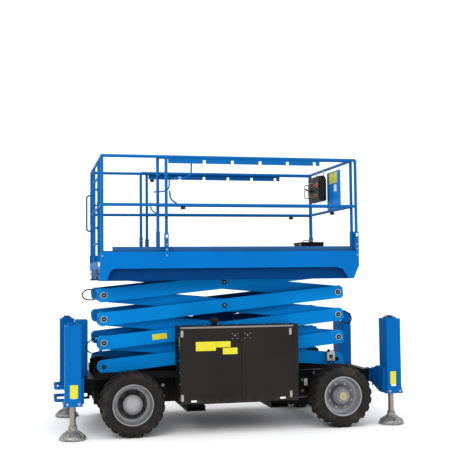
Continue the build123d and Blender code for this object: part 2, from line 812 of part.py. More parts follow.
# Platform deck: floor, skirts, under-frame, top slide tracks and the fixed clevis.
floor_under = deck_floor - 6
deck = box(platform_rear, platform_front, -platform_half_width, platform_half_width, floor_under, deck_floor)
skirt_inside = platform_half_width - 8
skirt = box(platform_rear, platform_front, skirt_inside, platform_half_width, skirt_bottom, skirt_top)
low_y = platform_half_width - 60
apron_bottom = skirt_bottom - 125
low = plate_y(
    [
        (platform_rear, apron_bottom),
        (platform_front - 62, apron_bottom),
        (platform_front - 8, skirt_bottom),
        (platform_rear, skirt_bottom),
    ],
    low_y,
    low_y + 8,
)
low_flange = box(platform_rear, platform_front - 62, low_y - 40, low_y, apron_bottom, apron_bottom + 8)
# End cheeks close the apron to the skirt, with a hollow corner swept out of each.
cheek_rear = plate_y(
    [
        (platform_rear, apron_bottom),
        (platform_rear + 70, apron_bottom),
        (platform_rear + 105, skirt_bottom - 26),
        (platform_rear + 150, skirt_bottom),
        (platform_rear, skirt_bottom),
    ],
    platform_half_width - 8,
    platform_half_width,
)
cheek_front = plate_y(
    [
        (platform_front - 130, apron_bottom + 14),
        (platform_front - 62, apron_bottom),
        (platform_front - 8, skirt_bottom),
        (platform_front - 260, skirt_bottom),
        (platform_front - 185, skirt_bottom - 26),
    ],
    platform_half_width - 8,
    platform_half_width,
)
cheek_web = box(platform_rear, platform_rear + 8, low_y, platform_half_width, apron_bottom, skirt_bottom)
cheek_foot = box(
    platform_front - 130, platform_front - 62, low_y, platform_half_width, apron_bottom, apron_bottom + 8
)
ledge = box(platform_rear, platform_front, low_y, platform_half_width, skirt_bottom, skirt_bottom + 8)
web = box(platform_rear + 20, platform_front - 20, low_y - 8, low_y, skirt_bottom, floor_under)
low_z = skirt_bottom + 8
platform_side = skirt + low + low_flange + ledge + web
platform_side = platform_side + cheek_rear + cheek_front + cheek_web + cheek_foot
# End panels that close the rear under the floor, on both sides of the arm ends.
arm_room = 11
end_outer = box(
    platform_rear,
    platform_rear + 6,
    outer_arm_face - arm_thickness + arm_room - 8,
    platform_half_width,
    apron_bottom,
    floor_under,
)
corner_y = platform_half_width - 40
end_corner = box(platform_rear, platform_rear + 6, corner_y, platform_half_width, floor_under, skirt_top)
platform_side = platform_side + end_outer + end_corner
top_z = pin_height(4)
track_low = box(
    platform_rear + 5,
    track_front,
    track_inside_y,
    track_outside_y,
    top_z - block_half - 12,
    top_z - block_half - 0.6,
)
track_high = box(
    platform_rear + 5,
    track_front,
    track_inside_y,
    track_outside_y,
    top_z + block_half + 0.6,
    floor_under,
)
track_side = box(
    platform_rear + 5, track_front, track_inside_y, track_inside_y + 10, top_z - block_half - 12, floor_under
)
clevis_points = [
    (fixed_pin_x - 60, top_z - 45),
    (fixed_pin_x + 60, top_z - 45),
    (fixed_pin_x + 100, floor_under),
    (fixed_pin_x - 100, floor_under),
]
back_y = outer_arm_face - arm_thickness
clevis = plate_y(clevis_points, back_y - 20, back_y - 8) + plate_y(
    clevis_points, outer_arm_face + 8, outer_arm_face + 20
)
clevis = clevis + rod_y(pin_radius, fixed_pin_x, top_z, back_y - 20, outer_arm_face + 20)
platform_side = platform_side + track_low + track_high + track_side + clevis
deck = deck + both_sides(platform_side)
for cross_x in (platform_rear + 40, -700, 0, 700, platform_front - 40):
    deck = deck + box(cross_x - 20, cross_x + 20, -low_y, low_y, floor_under - 16, floor_under)
end_skirt = box(
    platform_rear, platform_rear + 6, -platform_half_width, platform_half_width, skirt_bottom, floor_under
)
front_skirt = box(
    platform_front - 6, platform_front, -platform_half_width, platform_half_width, skirt_bottom, floor_under
)
arm_notch = box(
    platform_rear - 5, platform_rear + 20, inner_arm_face - arm_thickness - 8, inner_arm_face + 8, skirt_bottom - 9, skirt_bottom + 49
)
end_middle = box(
    platform_rear,
    platform_rear + 6,
    10 - track_inside_y,
    track_inside_y - 10,
    apron_bottom + 16,
    skirt_bottom,
)
deck = deck + (end_skirt - both_sides(arm_notch)) + front_skirt + end_middle
save("platform_deck", deck)

# Fixed guardrails with the entry opening at the rear.
rail_y = platform_half_width - 8 - rail_radius - 1
top_z = guardrail_top - rail_radius
mid_z = mid_rail_top - rail_radius
rear_post_x = platform_rear + rail_radius + 6
front_post_x = platform_front - rail_radius
middle_post_x = -730
gate_half = 330
side_rail = rod_x(rail_radius, rail_y, top_z, rear_post_x, front_post_x)
side_rail = side_rail + rod_x(rail_radius, rail_y, mid_z, rear_post_x, front_post_x)
for post_x in (rear_post_x, middle_post_x, front_post_x):
    side_rail = side_rail + rod_z(rail_radius, post_x, rail_y, deck_floor, top_z)
gate_post_y = gate_half + 26
side_rail = side_rail + rod_z(rail_radius, rear_post_x, gate_post_y, deck_floor, top_z)
side_rail = side_rail + rod_y(rail_radius, rear_post_x, top_z, gate_post_y, rail_y)
side_rail = side_rail + rod_y(rail_radius, rear_post_x, mid_z, gate_post_y, rail_y)
rack = box(-707, 952, rail_y - 4, rail_y + 4, top_z - 68, top_z)
for notch in range(5):
    notch_x = -323 + notch * 304
    rack = rack - box(notch_x - 16, notch_x + 16, rail_y - 10, rail_y + 10, top_z - 80, top_z - 30)
side_rail = side_rail + rack
# Square sockets that the folding middle posts stand in, each with its foot and lock pin.
socket_half = rail_radius + 5
for post_x, socket_top in ((middle_post_x, deck_floor + 284), (front_post_x - 2, deck_floor + 300)):
    socket = box(
        post_x - socket_half,
        post_x + socket_half,
        rail_y - socket_half,
        platform_half_width,
        skirt_top,
        socket_top,
    )
    socket = fillet(socket.edges().filter_by(Axis.Z), 4)
    socket = socket + rod_y(8, post_x, socket_top - 40, rail_y - socket_half - 12, platform_half_width)
    side_rail = side_rail + socket
rails = both_sides(side_rail)
gate_hinges = (deck_floor + 290, deck_floor + 810)
gate_hinge_y = gate_post_y - rail_radius - 12
gate_pin = 5
for z in gate_hinges:
    rails = rails + rod_z(gate_pin, rear_post_x, gate_hinge_y, z - 34, z + 34)
    for bracket_z in (z - 31, z + 31):
        rails = rails + box(
            rear_post_x - 7, rear_post_x + 7, gate_hinge_y - 5, gate_post_y, bracket_z - 4, bracket_z + 4
        )
rails = rails + rod_y(rail_radius, rear_post_x, top_z, -rail_y, rail_y)
save("platform_rails", rails)

# Entry gate, hinged on the far gate post.
gate_low = deck_floor + 200
gate_high = deck_floor + 910
gate_tube = 13
gate_y = gate_half - 28
gate_bar = gate_tube - 1
gate = rod_y(gate_bar, rear_post_x, mid_z, -gate_y, gate_y)
for z in (gate_low, gate_high):
    gate = gate + rod_y(gate_bar, rear_post_x, z, -gate_y, gate_y)
for y in (-gate_y, gate_y):
    gate = gate + rod_z(gate_tube, rear_post_x, y, gate_low - gate_tube, gate_high + gate_tube)
for z in gate_hinges:
    gate = gate + rod_z(11, rear_post_x, gate_hinge_y, z - 18, z + 18)
    gate = gate + box(rear_post_x - 4, rear_post_x + 4, gate_y, gate_hinge_y, z - 18, z + 18)
    gate = gate - rod_z(gate_pin + 0.05, rear_post_x, gate_hinge_y, z - 20, z + 20)
save("entry_gate", gate)

# Extension deck that slides forwards, with its own guardrails.
ext_y = platform_half_width - 65
ext_front = platform_front - 24
ext_floor = deck_floor + 6
extension = box(extension_rear, ext_front, -ext_y, ext_y, ext_floor, ext_floor + 6)
toe = box(extension_rear, ext_front, ext_y - 5, ext_y, ext_floor, toe_board_top)
extension = extension + both_sides(toe)
extension = extension + box(ext_front - 5, ext_front, -ext_y, ext_y, ext_floor, toe_board_top)
for strip_y in (-640, 600):
    extension = extension + box(
        extension_rear, ext_front - 40, strip_y, strip_y + 40, deck_floor + 0.3, ext_floor
    )
save("extension_deck", extension)

ext_rail_y = ext_y - rail_radius - 5.2
ext_rail_rear = -810
ext_rail_front = ext_front - rail_radius - 6
ext_top = top_z
ext_mid = mid_z
ext_side = rod_x(rail_radius, ext_rail_y, ext_top, ext_rail_rear, ext_rail_front)
ext_side = ext_side + rod_x(rail_radius, ext_rail_y, ext_mid, ext_rail_rear, ext_rail_front)
for post_x in (ext_rail_rear, ext_rail_front):
    ext_side = ext_side + rod_z(rail_radius, post_x, ext_rail_y, ext_floor + 6, ext_top)
ext_rails = both_sides(ext_side)
ext_rails = ext_rails + rod_y(rail_radius, ext_rail_front, ext_top, -ext_rail_y, ext_rail_y)
ext_rails = ext_rails + rod_y(rail_radius, ext_rail_front, ext_mid, -ext_rail_y, ext_rail_y)
save("extension_rails", ext_rails)

# Platform controls: the box on the end rail and the unit that stands on the deck.
control_front = ext_rail_front - rail_radius
control_low = deck_floor + 710
control_high = deck_floor + 1010
control = box(control_front - 90, control_front, 40, 460, control_low, control_high)
for hook_y in (120, 360):
    control = control + box(control_front - 6, control_front, hook_y, hook_y + 30, control_high - 20, guardrail_top)
save("platform_control_box", control)
folder_x = ext_rail_front + rail_radius
folder = box(folder_x, folder_x + 4, -340, 100, ext_mid - 10, control_high + 30)
save("document_plate", folder)
unit = box(1030, ext_rail_front - 30, 140, 450, ext_floor + 6, deck_floor + 220)
save("deck_power_unit", unit)
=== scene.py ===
import math

import bmesh
import bpy
from mathutils import Matrix, Vector


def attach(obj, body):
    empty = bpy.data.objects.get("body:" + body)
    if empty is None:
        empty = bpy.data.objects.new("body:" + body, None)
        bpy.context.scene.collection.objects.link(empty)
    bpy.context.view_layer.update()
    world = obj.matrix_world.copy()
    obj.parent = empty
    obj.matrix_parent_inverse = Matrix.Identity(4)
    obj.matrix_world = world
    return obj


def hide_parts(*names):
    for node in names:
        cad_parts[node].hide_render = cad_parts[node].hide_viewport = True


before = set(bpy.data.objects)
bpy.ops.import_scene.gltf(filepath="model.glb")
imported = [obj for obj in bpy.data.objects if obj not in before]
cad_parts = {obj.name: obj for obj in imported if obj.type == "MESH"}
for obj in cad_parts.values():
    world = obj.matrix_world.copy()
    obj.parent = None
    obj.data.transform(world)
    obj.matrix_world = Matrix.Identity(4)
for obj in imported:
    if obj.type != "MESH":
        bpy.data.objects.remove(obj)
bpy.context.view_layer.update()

# The photographer's place: low beside the rear corner, a long lens, and the
# whole machine in a square frame.
yaw, pitch, roll = (math.radians(a) for a in (12.659, 3.283, -0.586))
ahead = Vector((math.sin(yaw) * math.cos(pitch), math.cos(yaw) * math.cos(pitch), math.sin(pitch)))
level = Vector((math.cos(yaw), -math.sin(yaw), 0))
upward = level.cross(ahead)
picture_right = math.cos(roll) * level + math.sin(roll) * upward
picture_up = math.cos(roll) * upward - math.sin(roll) * level
stand = Matrix((picture_right, picture_up, -ahead)).transposed().to_4x4()
stand.translation = Vector((-2.0929, -9.6207, 1.6401))


def linked(name, data):
    """A new object, placed in the scene."""
    made = bpy.data.objects.new(name, data)
    bpy.context.scene.collection.objects.link(made)
    return made


camera = linked("camera", bpy.data.cameras.new("camera"))
camera.matrix_world = stand
camera.data.lens = 68.89
camera.data.sensor_width = 36
camera.data.clip_end = 200
bpy.context.scene.camera = camera

# Hydraulic hoses that loop out of the arm ends and back in. Black rubber over
# wire braid, 12 mm across, crimped into steel ferrules at both ends.


class Wire:
    """A shader socket that takes part in sums."""

    def __init__(self, tree, socket):
        self.tree = tree
        self.socket = socket

    def sum(self, operation, other, swapped=False):
        node = self.tree.nodes.new("ShaderNodeMath")
        node.operation = operation
        pair = (other, self) if swapped else (self, other)
        for place, value in zip(node.inputs, pair):
            if isinstance(value, Wire):
                self.tree.links.new(value.socket, place)
            else:
                place.default_value = value
        return Wire(self.tree, node.outputs[0])

    def __add__(self, other):
        return self.sum("ADD", other)

    def __radd__(self, other):
        return self.sum("ADD", other, True)

    def __rsub__(self, other):
        return self.sum("SUBTRACT", other, True)

    def __mul__(self, other):
        return self.sum("MULTIPLY", other)

    def __lt__(self, other):
        return self.sum("LESS_THAN", other)


class Finish:
    """A material and the surface shader it ends in."""

    def __init__(self, name, metallic=0.0, specular=0.35, roughness=0.5):
        self.material = bpy.data.materials.new(name)
        self.material.use_nodes = True
        self.tree = self.material.node_tree
        self.tree.nodes.clear()
        output = self.tree.nodes.new("ShaderNodeOutputMaterial")
        self.surface = self.tree.nodes.new("ShaderNodeBsdfPrincipled")
        self.tree.links.new(self.surface.outputs[0], output.inputs[0])
        self.surface.inputs["Metallic"].default_value = metallic
        self.surface.inputs["Specular IOR Level"].default_value = specular
        self.surface.inputs["Roughness"].default_value = roughness
        self.place = self.node("TexCoord", out="Object")

    def node(self, kind, settings=None, sockets=None, out=0):
        made = self.tree.nodes.new("ShaderNode" + kind)
        for name, value in (settings or {}).items():
            if name == "stops":
                ramp = made.color_ramp
                while len(ramp.elements) < len(value):
                    ramp.elements.new(0.5)
                for element, (at, colour) in zip(ramp.elements, value):
                    element.position = at
                    element.color = (*colour, 1)
            else:
                setattr(made, name, value)
        for name, value in (sockets or {}).items():
            if isinstance(value, Wire):
                self.tree.links.new(value.socket, made.inputs[name])
            else:
                made.inputs[name].default_value = value
        return Wire(self.tree, made.outputs[out])

    def put(self, name, wire):
        self.tree.links.new(wire.socket, self.surface.inputs[name])

    def noise(self, scale, detail=3.0, stretch=(1, 1, 1)):
        mapped = self.node("Mapping", None, {"Vector": self.place, "Scale": stretch})
        return self.node("TexNoise", None, {"Vector": mapped, "Scale": scale, "Detail": detail})

    def step(self, value, low, high):
        sockets = {"Value": value, "From Min": low, "From Max": high}
        return self.node("MapRange", {"interpolation_type": "SMOOTHSTEP"}, sockets)

    def mix(self, first, second, mask):
        def colour(value):
            return value if isinstance(value, Wire) else (*value, 1)

        sockets = {0: mask, 6: colour(first), 7: colour(second)}
        return self.node("Mix", {"data_type": "RGBA"}, sockets, out=2)

    def mottle(self, first, second, grain, smooth=None, spread=0.0):
        """Two colours that a noise mixes, and a roughness that follows the same noise."""
        self.put("Base Color", self.mix(first, second, grain))
        if smooth is not None:
            self.put("Roughness", smooth + grain * spread)

    def relief(self, height, distance, edge=None):
        sockets = {"Height": height, "Distance": distance, "Strength": 1.0}
        if edge is not None:
            sockets["Normal"] = self.node("Bevel", {"samples": 4}, {"Radius": edge})
        self.put("Normal", self.node("Bump", None, sockets))


rubber = Finish("hose_rubber", specular=0.08, roughness=0.75)
scuff = rubber.noise(60)
rubber.mottle((0.003, 0.003, 0.003), (0.014, 0.0135, 0.013), scuff, 0.6, 0.25)
rubber.relief(rubber.noise(900, 2), 0.0003)

hose_routes = {
    "hose_upper_rear": (
        "inner_arms_3",
        0.367,
        [
            (-1.4138, -0.4095, 1.4807), (-1.4608, -0.4085, 1.4933), (-1.5107, -0.4055, 1.4971),
            (-1.5545, -0.4015, 1.4802), (-1.5759, -0.4005, 1.4461), (-1.5644, -0.4035, 1.4088),
            (-1.5233, -0.4065, 1.3868), (-1.4712, -0.4085, 1.3858), (-1.4222, -0.4095, 1.3931),
        ],
    ),
    "hose_lower_rear": (
        "inner_arms_1",
        0.334,
        [
            (-1.4146, -0.4095, 0.9768), (-1.4548, -0.4085, 0.9766), (-1.4947, -0.4055, 0.9584),
            (-1.5240, -0.4015, 0.9250), (-1.5320, -0.3995, 0.8836), (-1.5156, -0.4015, 0.8458),
            (-1.4795, -0.4055, 0.8243), (-1.4371, -0.4085, 0.8262), (-1.3973, -0.4095, 0.8425),
        ],
    ),
    "hose_front": (
        "inner_arms_3",
        0.369,
        [
            (1.2899, -0.4095, 1.2229), (1.3347, -0.4085, 1.2186), (1.3784, -0.4055, 1.2023),
            (1.4117, -0.4025, 1.1730), (1.4305, -0.4005, 1.1390), (1.4251, -0.4015, 1.1034),
            (1.3948, -0.4035, 1.0802), (1.3542, -0.4065, 1.0760), (1.3153, -0.4085, 1.0898),
            (1.2794, -0.4095, 1.1134),
        ],
    ),
}
for name, (body, length, route) in hose_routes.items():
    curve = bpy.data.curves.new(name, "CURVE")
    curve.dimensions = "3D"
    line = curve.splines.new("NURBS")
    line.points.add(len(route) - 1)
    for point, at in zip(line.points, route):
        point.co = (*at, 1)
    line.order_u = 3
    line.use_endpoint_u = True
    line.use_smooth = True
    curve.resolution_u = 12
    curve.bevel_depth = 0.006
    curve.bevel_resolution = 4
    curve.use_fill_caps = True
    curve.materials.append(rubber.material)
    loop = linked(name + "_loop", curve)
    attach(loop, body)
    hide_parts(name)

# The studio: an even white floor and wall, a broad window light high on the
# camera's side, a weaker one on the right and a soft one overhead.
floor_mesh = bpy.data.meshes.new("studio_floor")
floor_mesh.from_pydata([(-60, -60, 0), (60, -60, 0), (60, 60, 0), (-60, 60, 0)], [], [(0, 1, 2, 3)])
floor = linked("studio_floor", floor_mesh)
pale = Finish("studio_floor", specular=0.1, roughness=0.9)
pale.mottle((0.95, 0.95, 0.95), (0.97, 0.97, 0.97), pale.noise(2))
floor_mesh.materials.append(pale.material)
for name, place, aim, size, power in (
    ("window", (-5.5, -8.0, 6.5), (0, 0, 1.6), 5.0, 330),
    ("reflector", (6.5, -6.5, 3.5), (0.5, 0, 1.2), 4.0, 70),
    ("overhead", (0.5, 0.5, 7.5), (0, 0, 1.0), 6.0, 60),
):
    lamp = bpy.data.lights.new(name, "AREA")
    lamp.energy = power
    lamp.size = size
    lit = linked(name, lamp)
    lit.location = place
    lit.rotation_euler = (Vector(place) - Vector(aim)).to_track_quat("Z", "Y").to_euler()
world = bpy.data.worlds.new("studio")
world.use_nodes = True
world.node_tree.nodes["Background"].inputs[0].default_value = (1, 1, 1, 1)
world.node_tree.nodes["Background"].inputs[1].default_value = 1.0
bpy.context.scene.world = world
bpy.context.scene.view_settings.view_transform = "Standard"
bpy.context.scene.view_settings.look = "Medium High Contrast"

# Chassis frame, axles, knuckles and end beams. Welded plate in a satin black
# topcoat, dusty on top and grey with road dirt near the ground.


def coated(
    name, fresh, faded, edge_colour, dust=0.04, low=(0.15, 0.5), specular=0.3, gloss=0.38,
    painted_shade=None
):
    """Sprayed topcoat: slow fading, orange peel, dust on level faces, dirt low down, thin edges,
    and, where asked, a band of painted shade.
    """
    paint = Finish(name, specular=specular)
    patch = paint.noise(1.7, 4)
    speck = paint.noise(38, 5)
    streak = paint.noise(5, 4, (6, 6, 0.7))
    split = paint.node("SeparateXYZ", None, {"Vector": paint.place}, out=2)
    facing = paint.node("NewGeometry", out="Normal")
    up = paint.node("SeparateXYZ", None, {"Vector": facing}, out=2)
    soft = paint.node("Bevel", {"samples": 4}, {"Radius": 0.004})
    turned = paint.node(
        "VectorMath", {"operation": "DOT_PRODUCT"}, {0: facing, 1: soft}, out="Value"
    )
    edge = paint.step(1 - turned, 0.02, 0.22) * paint.step(speck, 0.42, 0.66)
    body = paint.mix(fresh, faded, paint.step(patch, 0.35, 0.75))
    if painted_shade is not None:
        # Painted shade: a recessed band gets a darker, unfaded colour that stands in for the shade
        # it lies in.
        across = paint.node("SeparateXYZ", None, {"Vector": paint.place}, out=1)
        inside = paint.node("Math", {"operation": "ABSOLUTE"}, {0: across})
        body = paint.mix(body, painted_shade[2], (inside < painted_shade[0]) * (split < painted_shade[1]))
    body = paint.mix(
        body, (0.30, 0.27, 0.23), paint.step(up, 0.6, 1.0) * paint.step(speck, 0.3, 0.8) * dust
    )
    ground = (1 - paint.step(split, *low)) * paint.step(streak, 0.35, 0.7) * 0.45
    body = paint.mix(body, (0.16, 0.13, 0.10), ground)
    body = paint.mix(body, edge_colour, edge * 0.55)
    paint.put("Base Color", body)
    paint.put("Roughness", gloss + patch * 0.1 + ground * 0.5 + speck * 0.08)
    paint.relief(paint.noise(260, 2), 0.00025, edge=0.003)
    return paint


black_paint = coated(
    "chassis_black_paint", (0.006, 0.006, 0.006), (0.014, 0.012, 0.012), (0.08, 0.08, 0.08),
    dust=0.06, specular=0.15
)


def dress(finish, slot, *nodes):
    """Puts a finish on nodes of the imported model, whose shape is already right."""
    for node in nodes:
        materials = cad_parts[node].data.materials
        materials.clear()
        materials.append(finish.material)


dress(
    black_paint,
    "chassis_black",
    "chassis_frame",
    "rear_axle",
    "front_axle",
    "steering_knuckle_near",
    "steering_knuckle_far",
)


class Recipe:
    """A Geometry Nodes tree with named sizes."""

    def __init__(self, name, sizes):
        self.tree = bpy.data.node_groups.new(name, "GeometryNodeTree")
        outside = self.tree.interface
        outside.new_socket("Geometry", in_out="INPUT", socket_type="NodeSocketGeometry")
        self.identifiers = {}
        for label, kind in sizes.items():
            socket = outside.new_socket(label, in_out="INPUT", socket_type="NodeSocket" + kind)
            self.identifiers[label] = socket.identifier
        outside.new_socket("Geometry", in_out="OUTPUT", socket_type="NodeSocketGeometry")
        self.given = self.tree.nodes.new("NodeGroupInput").outputs
        self.result = self.tree.nodes.new("NodeGroupOutput")

    def node(self, kind, settings=None, sockets=None, out=0):
        made = self.tree.nodes.new(kind)
        for name, value in (settings or {}).items():
            setattr(made, name, value)
        for name, value in (sockets or {}).items():
            if isinstance(value, bpy.types.NodeSocket):
                self.tree.links.new(value, made.inputs[name])
            else:
                made.inputs[name].default_value = value
        return made.outputs[out]

    def scatter(self, points, instance, **rotation):
        """The last steps: a copy on every point, made real and given its finish."""
        sockets = {"Points": points, "Instance": instance, **rotation}
        placed = self.node("GeometryNodeInstanceOnPoints", None, sockets)
        real = self.node("GeometryNodeRealizeInstances", None, {0: placed})
        painted = self.node(
            "GeometryNodeSetMaterial", None, {0: real, "Material": self.given["Finish"]}
        )
        self.tree.links.new(painted, self.result.inputs[0])

    def make(self, name, base, sizes):
        """Runs the tree on a base object, and gives back the plain mesh that it makes."""
        maker = base.modifiers.new(name, "NODES")
        maker.node_group = self.tree
        for label, value in sizes.items():
            maker[self.identifiers[label]] = value
        bpy.context.view_layer.update()
        graph = bpy.context.evaluated_depsgraph_get()
        mesh = bpy.data.meshes.new_from_object(base.evaluated_get(graph))
        bpy.data.objects.remove(base)
        mesh.set_sharp_from_angle(angle=math.radians(35))
        return linked(name, mesh)


bolts = Recipe(
    "bolt_heads",
    {"Head radius": "Float", "Head height": "Float", "Washer radius": "Float", "Finish": "Material"}
)
head = bolts.node(
    "GeometryNodeMeshCylinder", None, {
        "Vertices": 6, "Radius": bolts.given["Head radius"], "Depth": bolts.given["Head height"]
    }
)
half = bolts.node(
    "ShaderNodeMath", {"operation": "MULTIPLY_ADD"},
    {0: bolts.given["Head height"], 1: 0.5, 2: 0.0015}
)
raised = bolts.node("ShaderNodeCombineXYZ", None, {"Z": half})
head = bolts.node("GeometryNodeTransform", None, {"Geometry": head, "Translation": raised})
washer = bolts.node(
    "GeometryNodeMeshCylinder", None,
    {"Vertices": 18, "Radius": bolts.given["Washer radius"], "Depth": 0.004}
)
both = bolts.tree.nodes.new("GeometryNodeJoinGeometry")
bolts.tree.links.new(head, both.inputs[0])
bolts.tree.links.new(washer, both.inputs[0])
axis = bolts.node(
    "GeometryNodeInputNamedAttribute", {"data_type": "FLOAT_VECTOR"}, {"Name": "axis"}
)
lean = bolts.node("FunctionNodeAlignRotationToVector", {"axis": "Z"}, {"Vector": axis})
bolts.scatter(bolts.given["Geometry"], both.outputs[0], Rotation=lean)

plated = Finish("plated_bolts", metallic=0.85, specular=0.5)
worn = plated.noise(120, 4)
plated.mottle((0.26, 0.25, 0.23), (0.46, 0.45, 0.43), worn, 0.28, 0.3)
plated.relief(plated.noise(400, 2), 0.0001, edge=0.0015)


def point_cloud(name, places):
    """An object that is only points, for a recipe to work on."""
    mesh = bpy.data.meshes.new(name)
    mesh.from_pydata(places, [], [])
    return linked(name, mesh)


def bolt_set(name, body, places, radius, height, washer, finish=plated):
    """Hexagon bolts with washers at (point, outward direction) places on one body."""
    base = point_cloud(name + "_places", [place for place, direction in places])
    axes = base.data.attributes.new("axis", "FLOAT_VECTOR", "POINT")
    for item, (place, direction) in zip(axes.data, places):
        item.vector = direction
    sizes = {
        "Head radius": radius, "Head height": height, "Washer radius": washer,
        "Finish": finish.material
    }
    made = bolts.make(name, base, sizes)
    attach(made, body)


class Shape:
    """One piece's mesh while it is put together, in the machine's own frame."""

    def __init__(self):
        self.mesh = bmesh.new()

    def add(self, part, place=None, finish=0):
        bmesh.ops.remove_doubles(part, verts=part.verts, dist=1e-6)
        bmesh.ops.recalc_face_normals(part, faces=part.faces)
        if place is not None:
            part.transform(place)
        for face in part.faces:
            face.material_index = finish
        carrier = bpy.data.meshes.new("carrier")
        part.to_mesh(carrier)
        part.free()
        self.mesh.from_mesh(carrier)
        bpy.data.meshes.remove(carrier)

    def block(self, low, high, edge=0.0015, finish=0, place=None):
        part = bmesh.new()
        bmesh.ops.create_cube(part, size=1)
        size = [b - a for a, b in zip(low, high)]
        middle = [(a + b) / 2 for a, b in zip(low, high)]
        part.transform(Matrix.Translation(middle) @ Matrix.Diagonal((*size, 1)))
        if edge:
            bmesh.ops.bevel(
                part, geom=part.edges[:], offset=min(edge, min(size) * 0.4), segments=2,
                affect="EDGES"
            )
        self.add(part, place, finish)

    def turned(self, profile, place, steps=32, finish=0, closed=False):
        part = bmesh.new()
        rings = []
        for radius, height in profile:
            if radius < 1e-6:
                rings.append([part.verts.new((0, 0, height))] * steps)
            else:
                turn = [2 * math.pi * n / steps for n in range(steps)]
                rings.append(
                    [
                        part.verts.new(
                            (radius * math.cos(t), radius * math.sin(t), height)
                        ) for t in turn
                    ]
                )
        pairs = list(zip(rings, rings[1:]))
        if closed:
            pairs.append((rings[-1], rings[0]))
        for lower, upper in pairs:
            for n in range(steps):
                m = (n + 1) % steps
                corners = []
                for vert in (lower[n], lower[m], upper[m], upper[n]):
                    if vert not in corners:
                        corners.append(vert)
                if len(corners) > 2:
                    part.faces.new(corners)
        self.add(part, place, finish)

    def tube(self, points, radius, steps=12, finish=0, bend=0.0, place=None):
        points = [Vector(p) for p in points]
        if bend:
            rounded = [points[0]]
            for before, here, after in zip(points, points[1:], points[2:]):
                into, out = (before - here).normalized(), (after - here).normalized()
                reach = min(bend, (before - here).length * 0.45, (after - here).length * 0.45)
                start, end = here + into * reach, here + out * reach
                for n in range(6):
                    t = n / 5
                    rounded.append((1 - t) ** 2 * start + 2 * t * (1 - t) * here + t * t * end)
            points = rounded + [points[-1]]
        part = bmesh.new()
        side = None
        rings = []
        for n, point in enumerate(points):
            along = (points[min(n + 1, len(points) - 1)] - points[max(n - 1, 0)]).normalized()
            if side is None:
                side = along.orthogonal().normalized()
            side = (side - along * side.dot(along)).normalized()
            other = along.cross(side)
            turn = [2 * math.pi * k / steps for k in range(steps)]
            rings.append(
                [
                    part.verts.new(
                        point + radius * (math.cos(t) * side + math.sin(t) * other)
                    ) for t in turn
                ]
            )
        for lower, upper in zip(rings, rings[1:]):
            for n in range(steps):
                m = (n + 1) % steps
                part.faces.new((lower[n], lower[m], upper[m], upper[n]))
        part.faces.new(rings[0])
        part.faces.new(rings[-1])
        self.add(part, place, finish)

    def prism(self, outline, depth, place, edge=0.0, finish=0):
        """An outline in X and Y, raised by depth along Z, then put in place."""
        part = bmesh.new()
        base = part.faces.new([part.verts.new((x, y, 0)) for x, y in outline])
        raised = bmesh.ops.extrude_face_region(part, geom=[base])
        moved = [item for item in raised["geom"] if isinstance(item, bmesh.types.BMVert)]
        bmesh.ops.translate(part, vec=(0, 0, depth), verts=moved)
        if edge:
            bmesh.ops.bevel(part, geom=part.edges[:], offset=edge, segments=2, affect="EDGES")
        self.add(part, place, finish)

    def piece(self, name, body, slot, *finishes):
        mesh = bpy.data.meshes.new(name)
        self.mesh.to_mesh(mesh)
        self.mesh.free()
        for face in mesh.polygons:
            face.use_smooth = True
        mesh.set_sharp_from_angle(angle=math.radians(35))
        for finish in finishes:
            mesh.materials.append(finish.material)
        made = linked(name, mesh)
        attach(made, body)
        return made


def towards(point, direction):
    """The place that puts a shape's Z axis along a direction at a point."""
    turn = Vector(direction).to_track_quat("Z", "Y").to_matrix().to_4x4()
    return Matrix.Translation(point) @ turn


frame_bolts = []
for side in (-1, 1):
    out = (0, side, 0)
    for x in (-1.26, -1.18, -1.00, -0.92, 0.98, 1.06, 1.24, 1.32):
        frame_bolts.append(((x, side * 0.4005, 0.535), out))
    for x in (-0.80, -0.72, 0.76, 0.84):
        for z in (0.345, 0.465):
            frame_bolts.append(((x, side * 0.4005, z), out))
bolt_set("chassis_bolts", "chassis", frame_bolts, 0.012, 0.009, 0.018)

blank_white = Finish("blank_white_plate", specular=0.3, roughness=0.4)
grime = blank_white.noise(25, 4)
blank_white.mottle((0.78, 0.79, 0.78), (0.60, 0.60, 0.58), grime)
blank_white.relief(grime, 0.0001)
blank_yellow = Finish("blank_yellow_plate", specular=0.3, roughness=0.4)
fade = blank_yellow.noise(20, 4)
blank_yellow.mottle((0.66, 0.60, 0.03), (0.50, 0.44, 0.03), fade)
blank_yellow.relief(fade, 0.0001)


def plate_set(name, body, y, plates, tilt=0):
    """Blank plates of thin film on the face at y: (low X, low Z, high X, high Z, colour)."""
    shape = Shape()
    side = -1 if y < 0 else 1
    low, high = sorted((0.0002 * side, 0.0012 * side))
    for x0, z0, x1, z1, colour in plates:
        middle = ((x0 + x1) / 2, y, (z0 + z1) / 2)
        place = Matrix.Translation(middle) @ Matrix.Rotation(tilt, 4, "Y")
        width, height = (x1 - x0) / 2, (z1 - z0) / 2
        shape.block((-width, low, -height), (width, high, height), 0.0004, colour, place)
    return shape.piece(name, body, "rail_steel", blank_yellow, blank_white)


plate_set("frame_label_plate", "chassis", -0.400, [(0.86, 0.40, 0.90, 0.48, 1)])

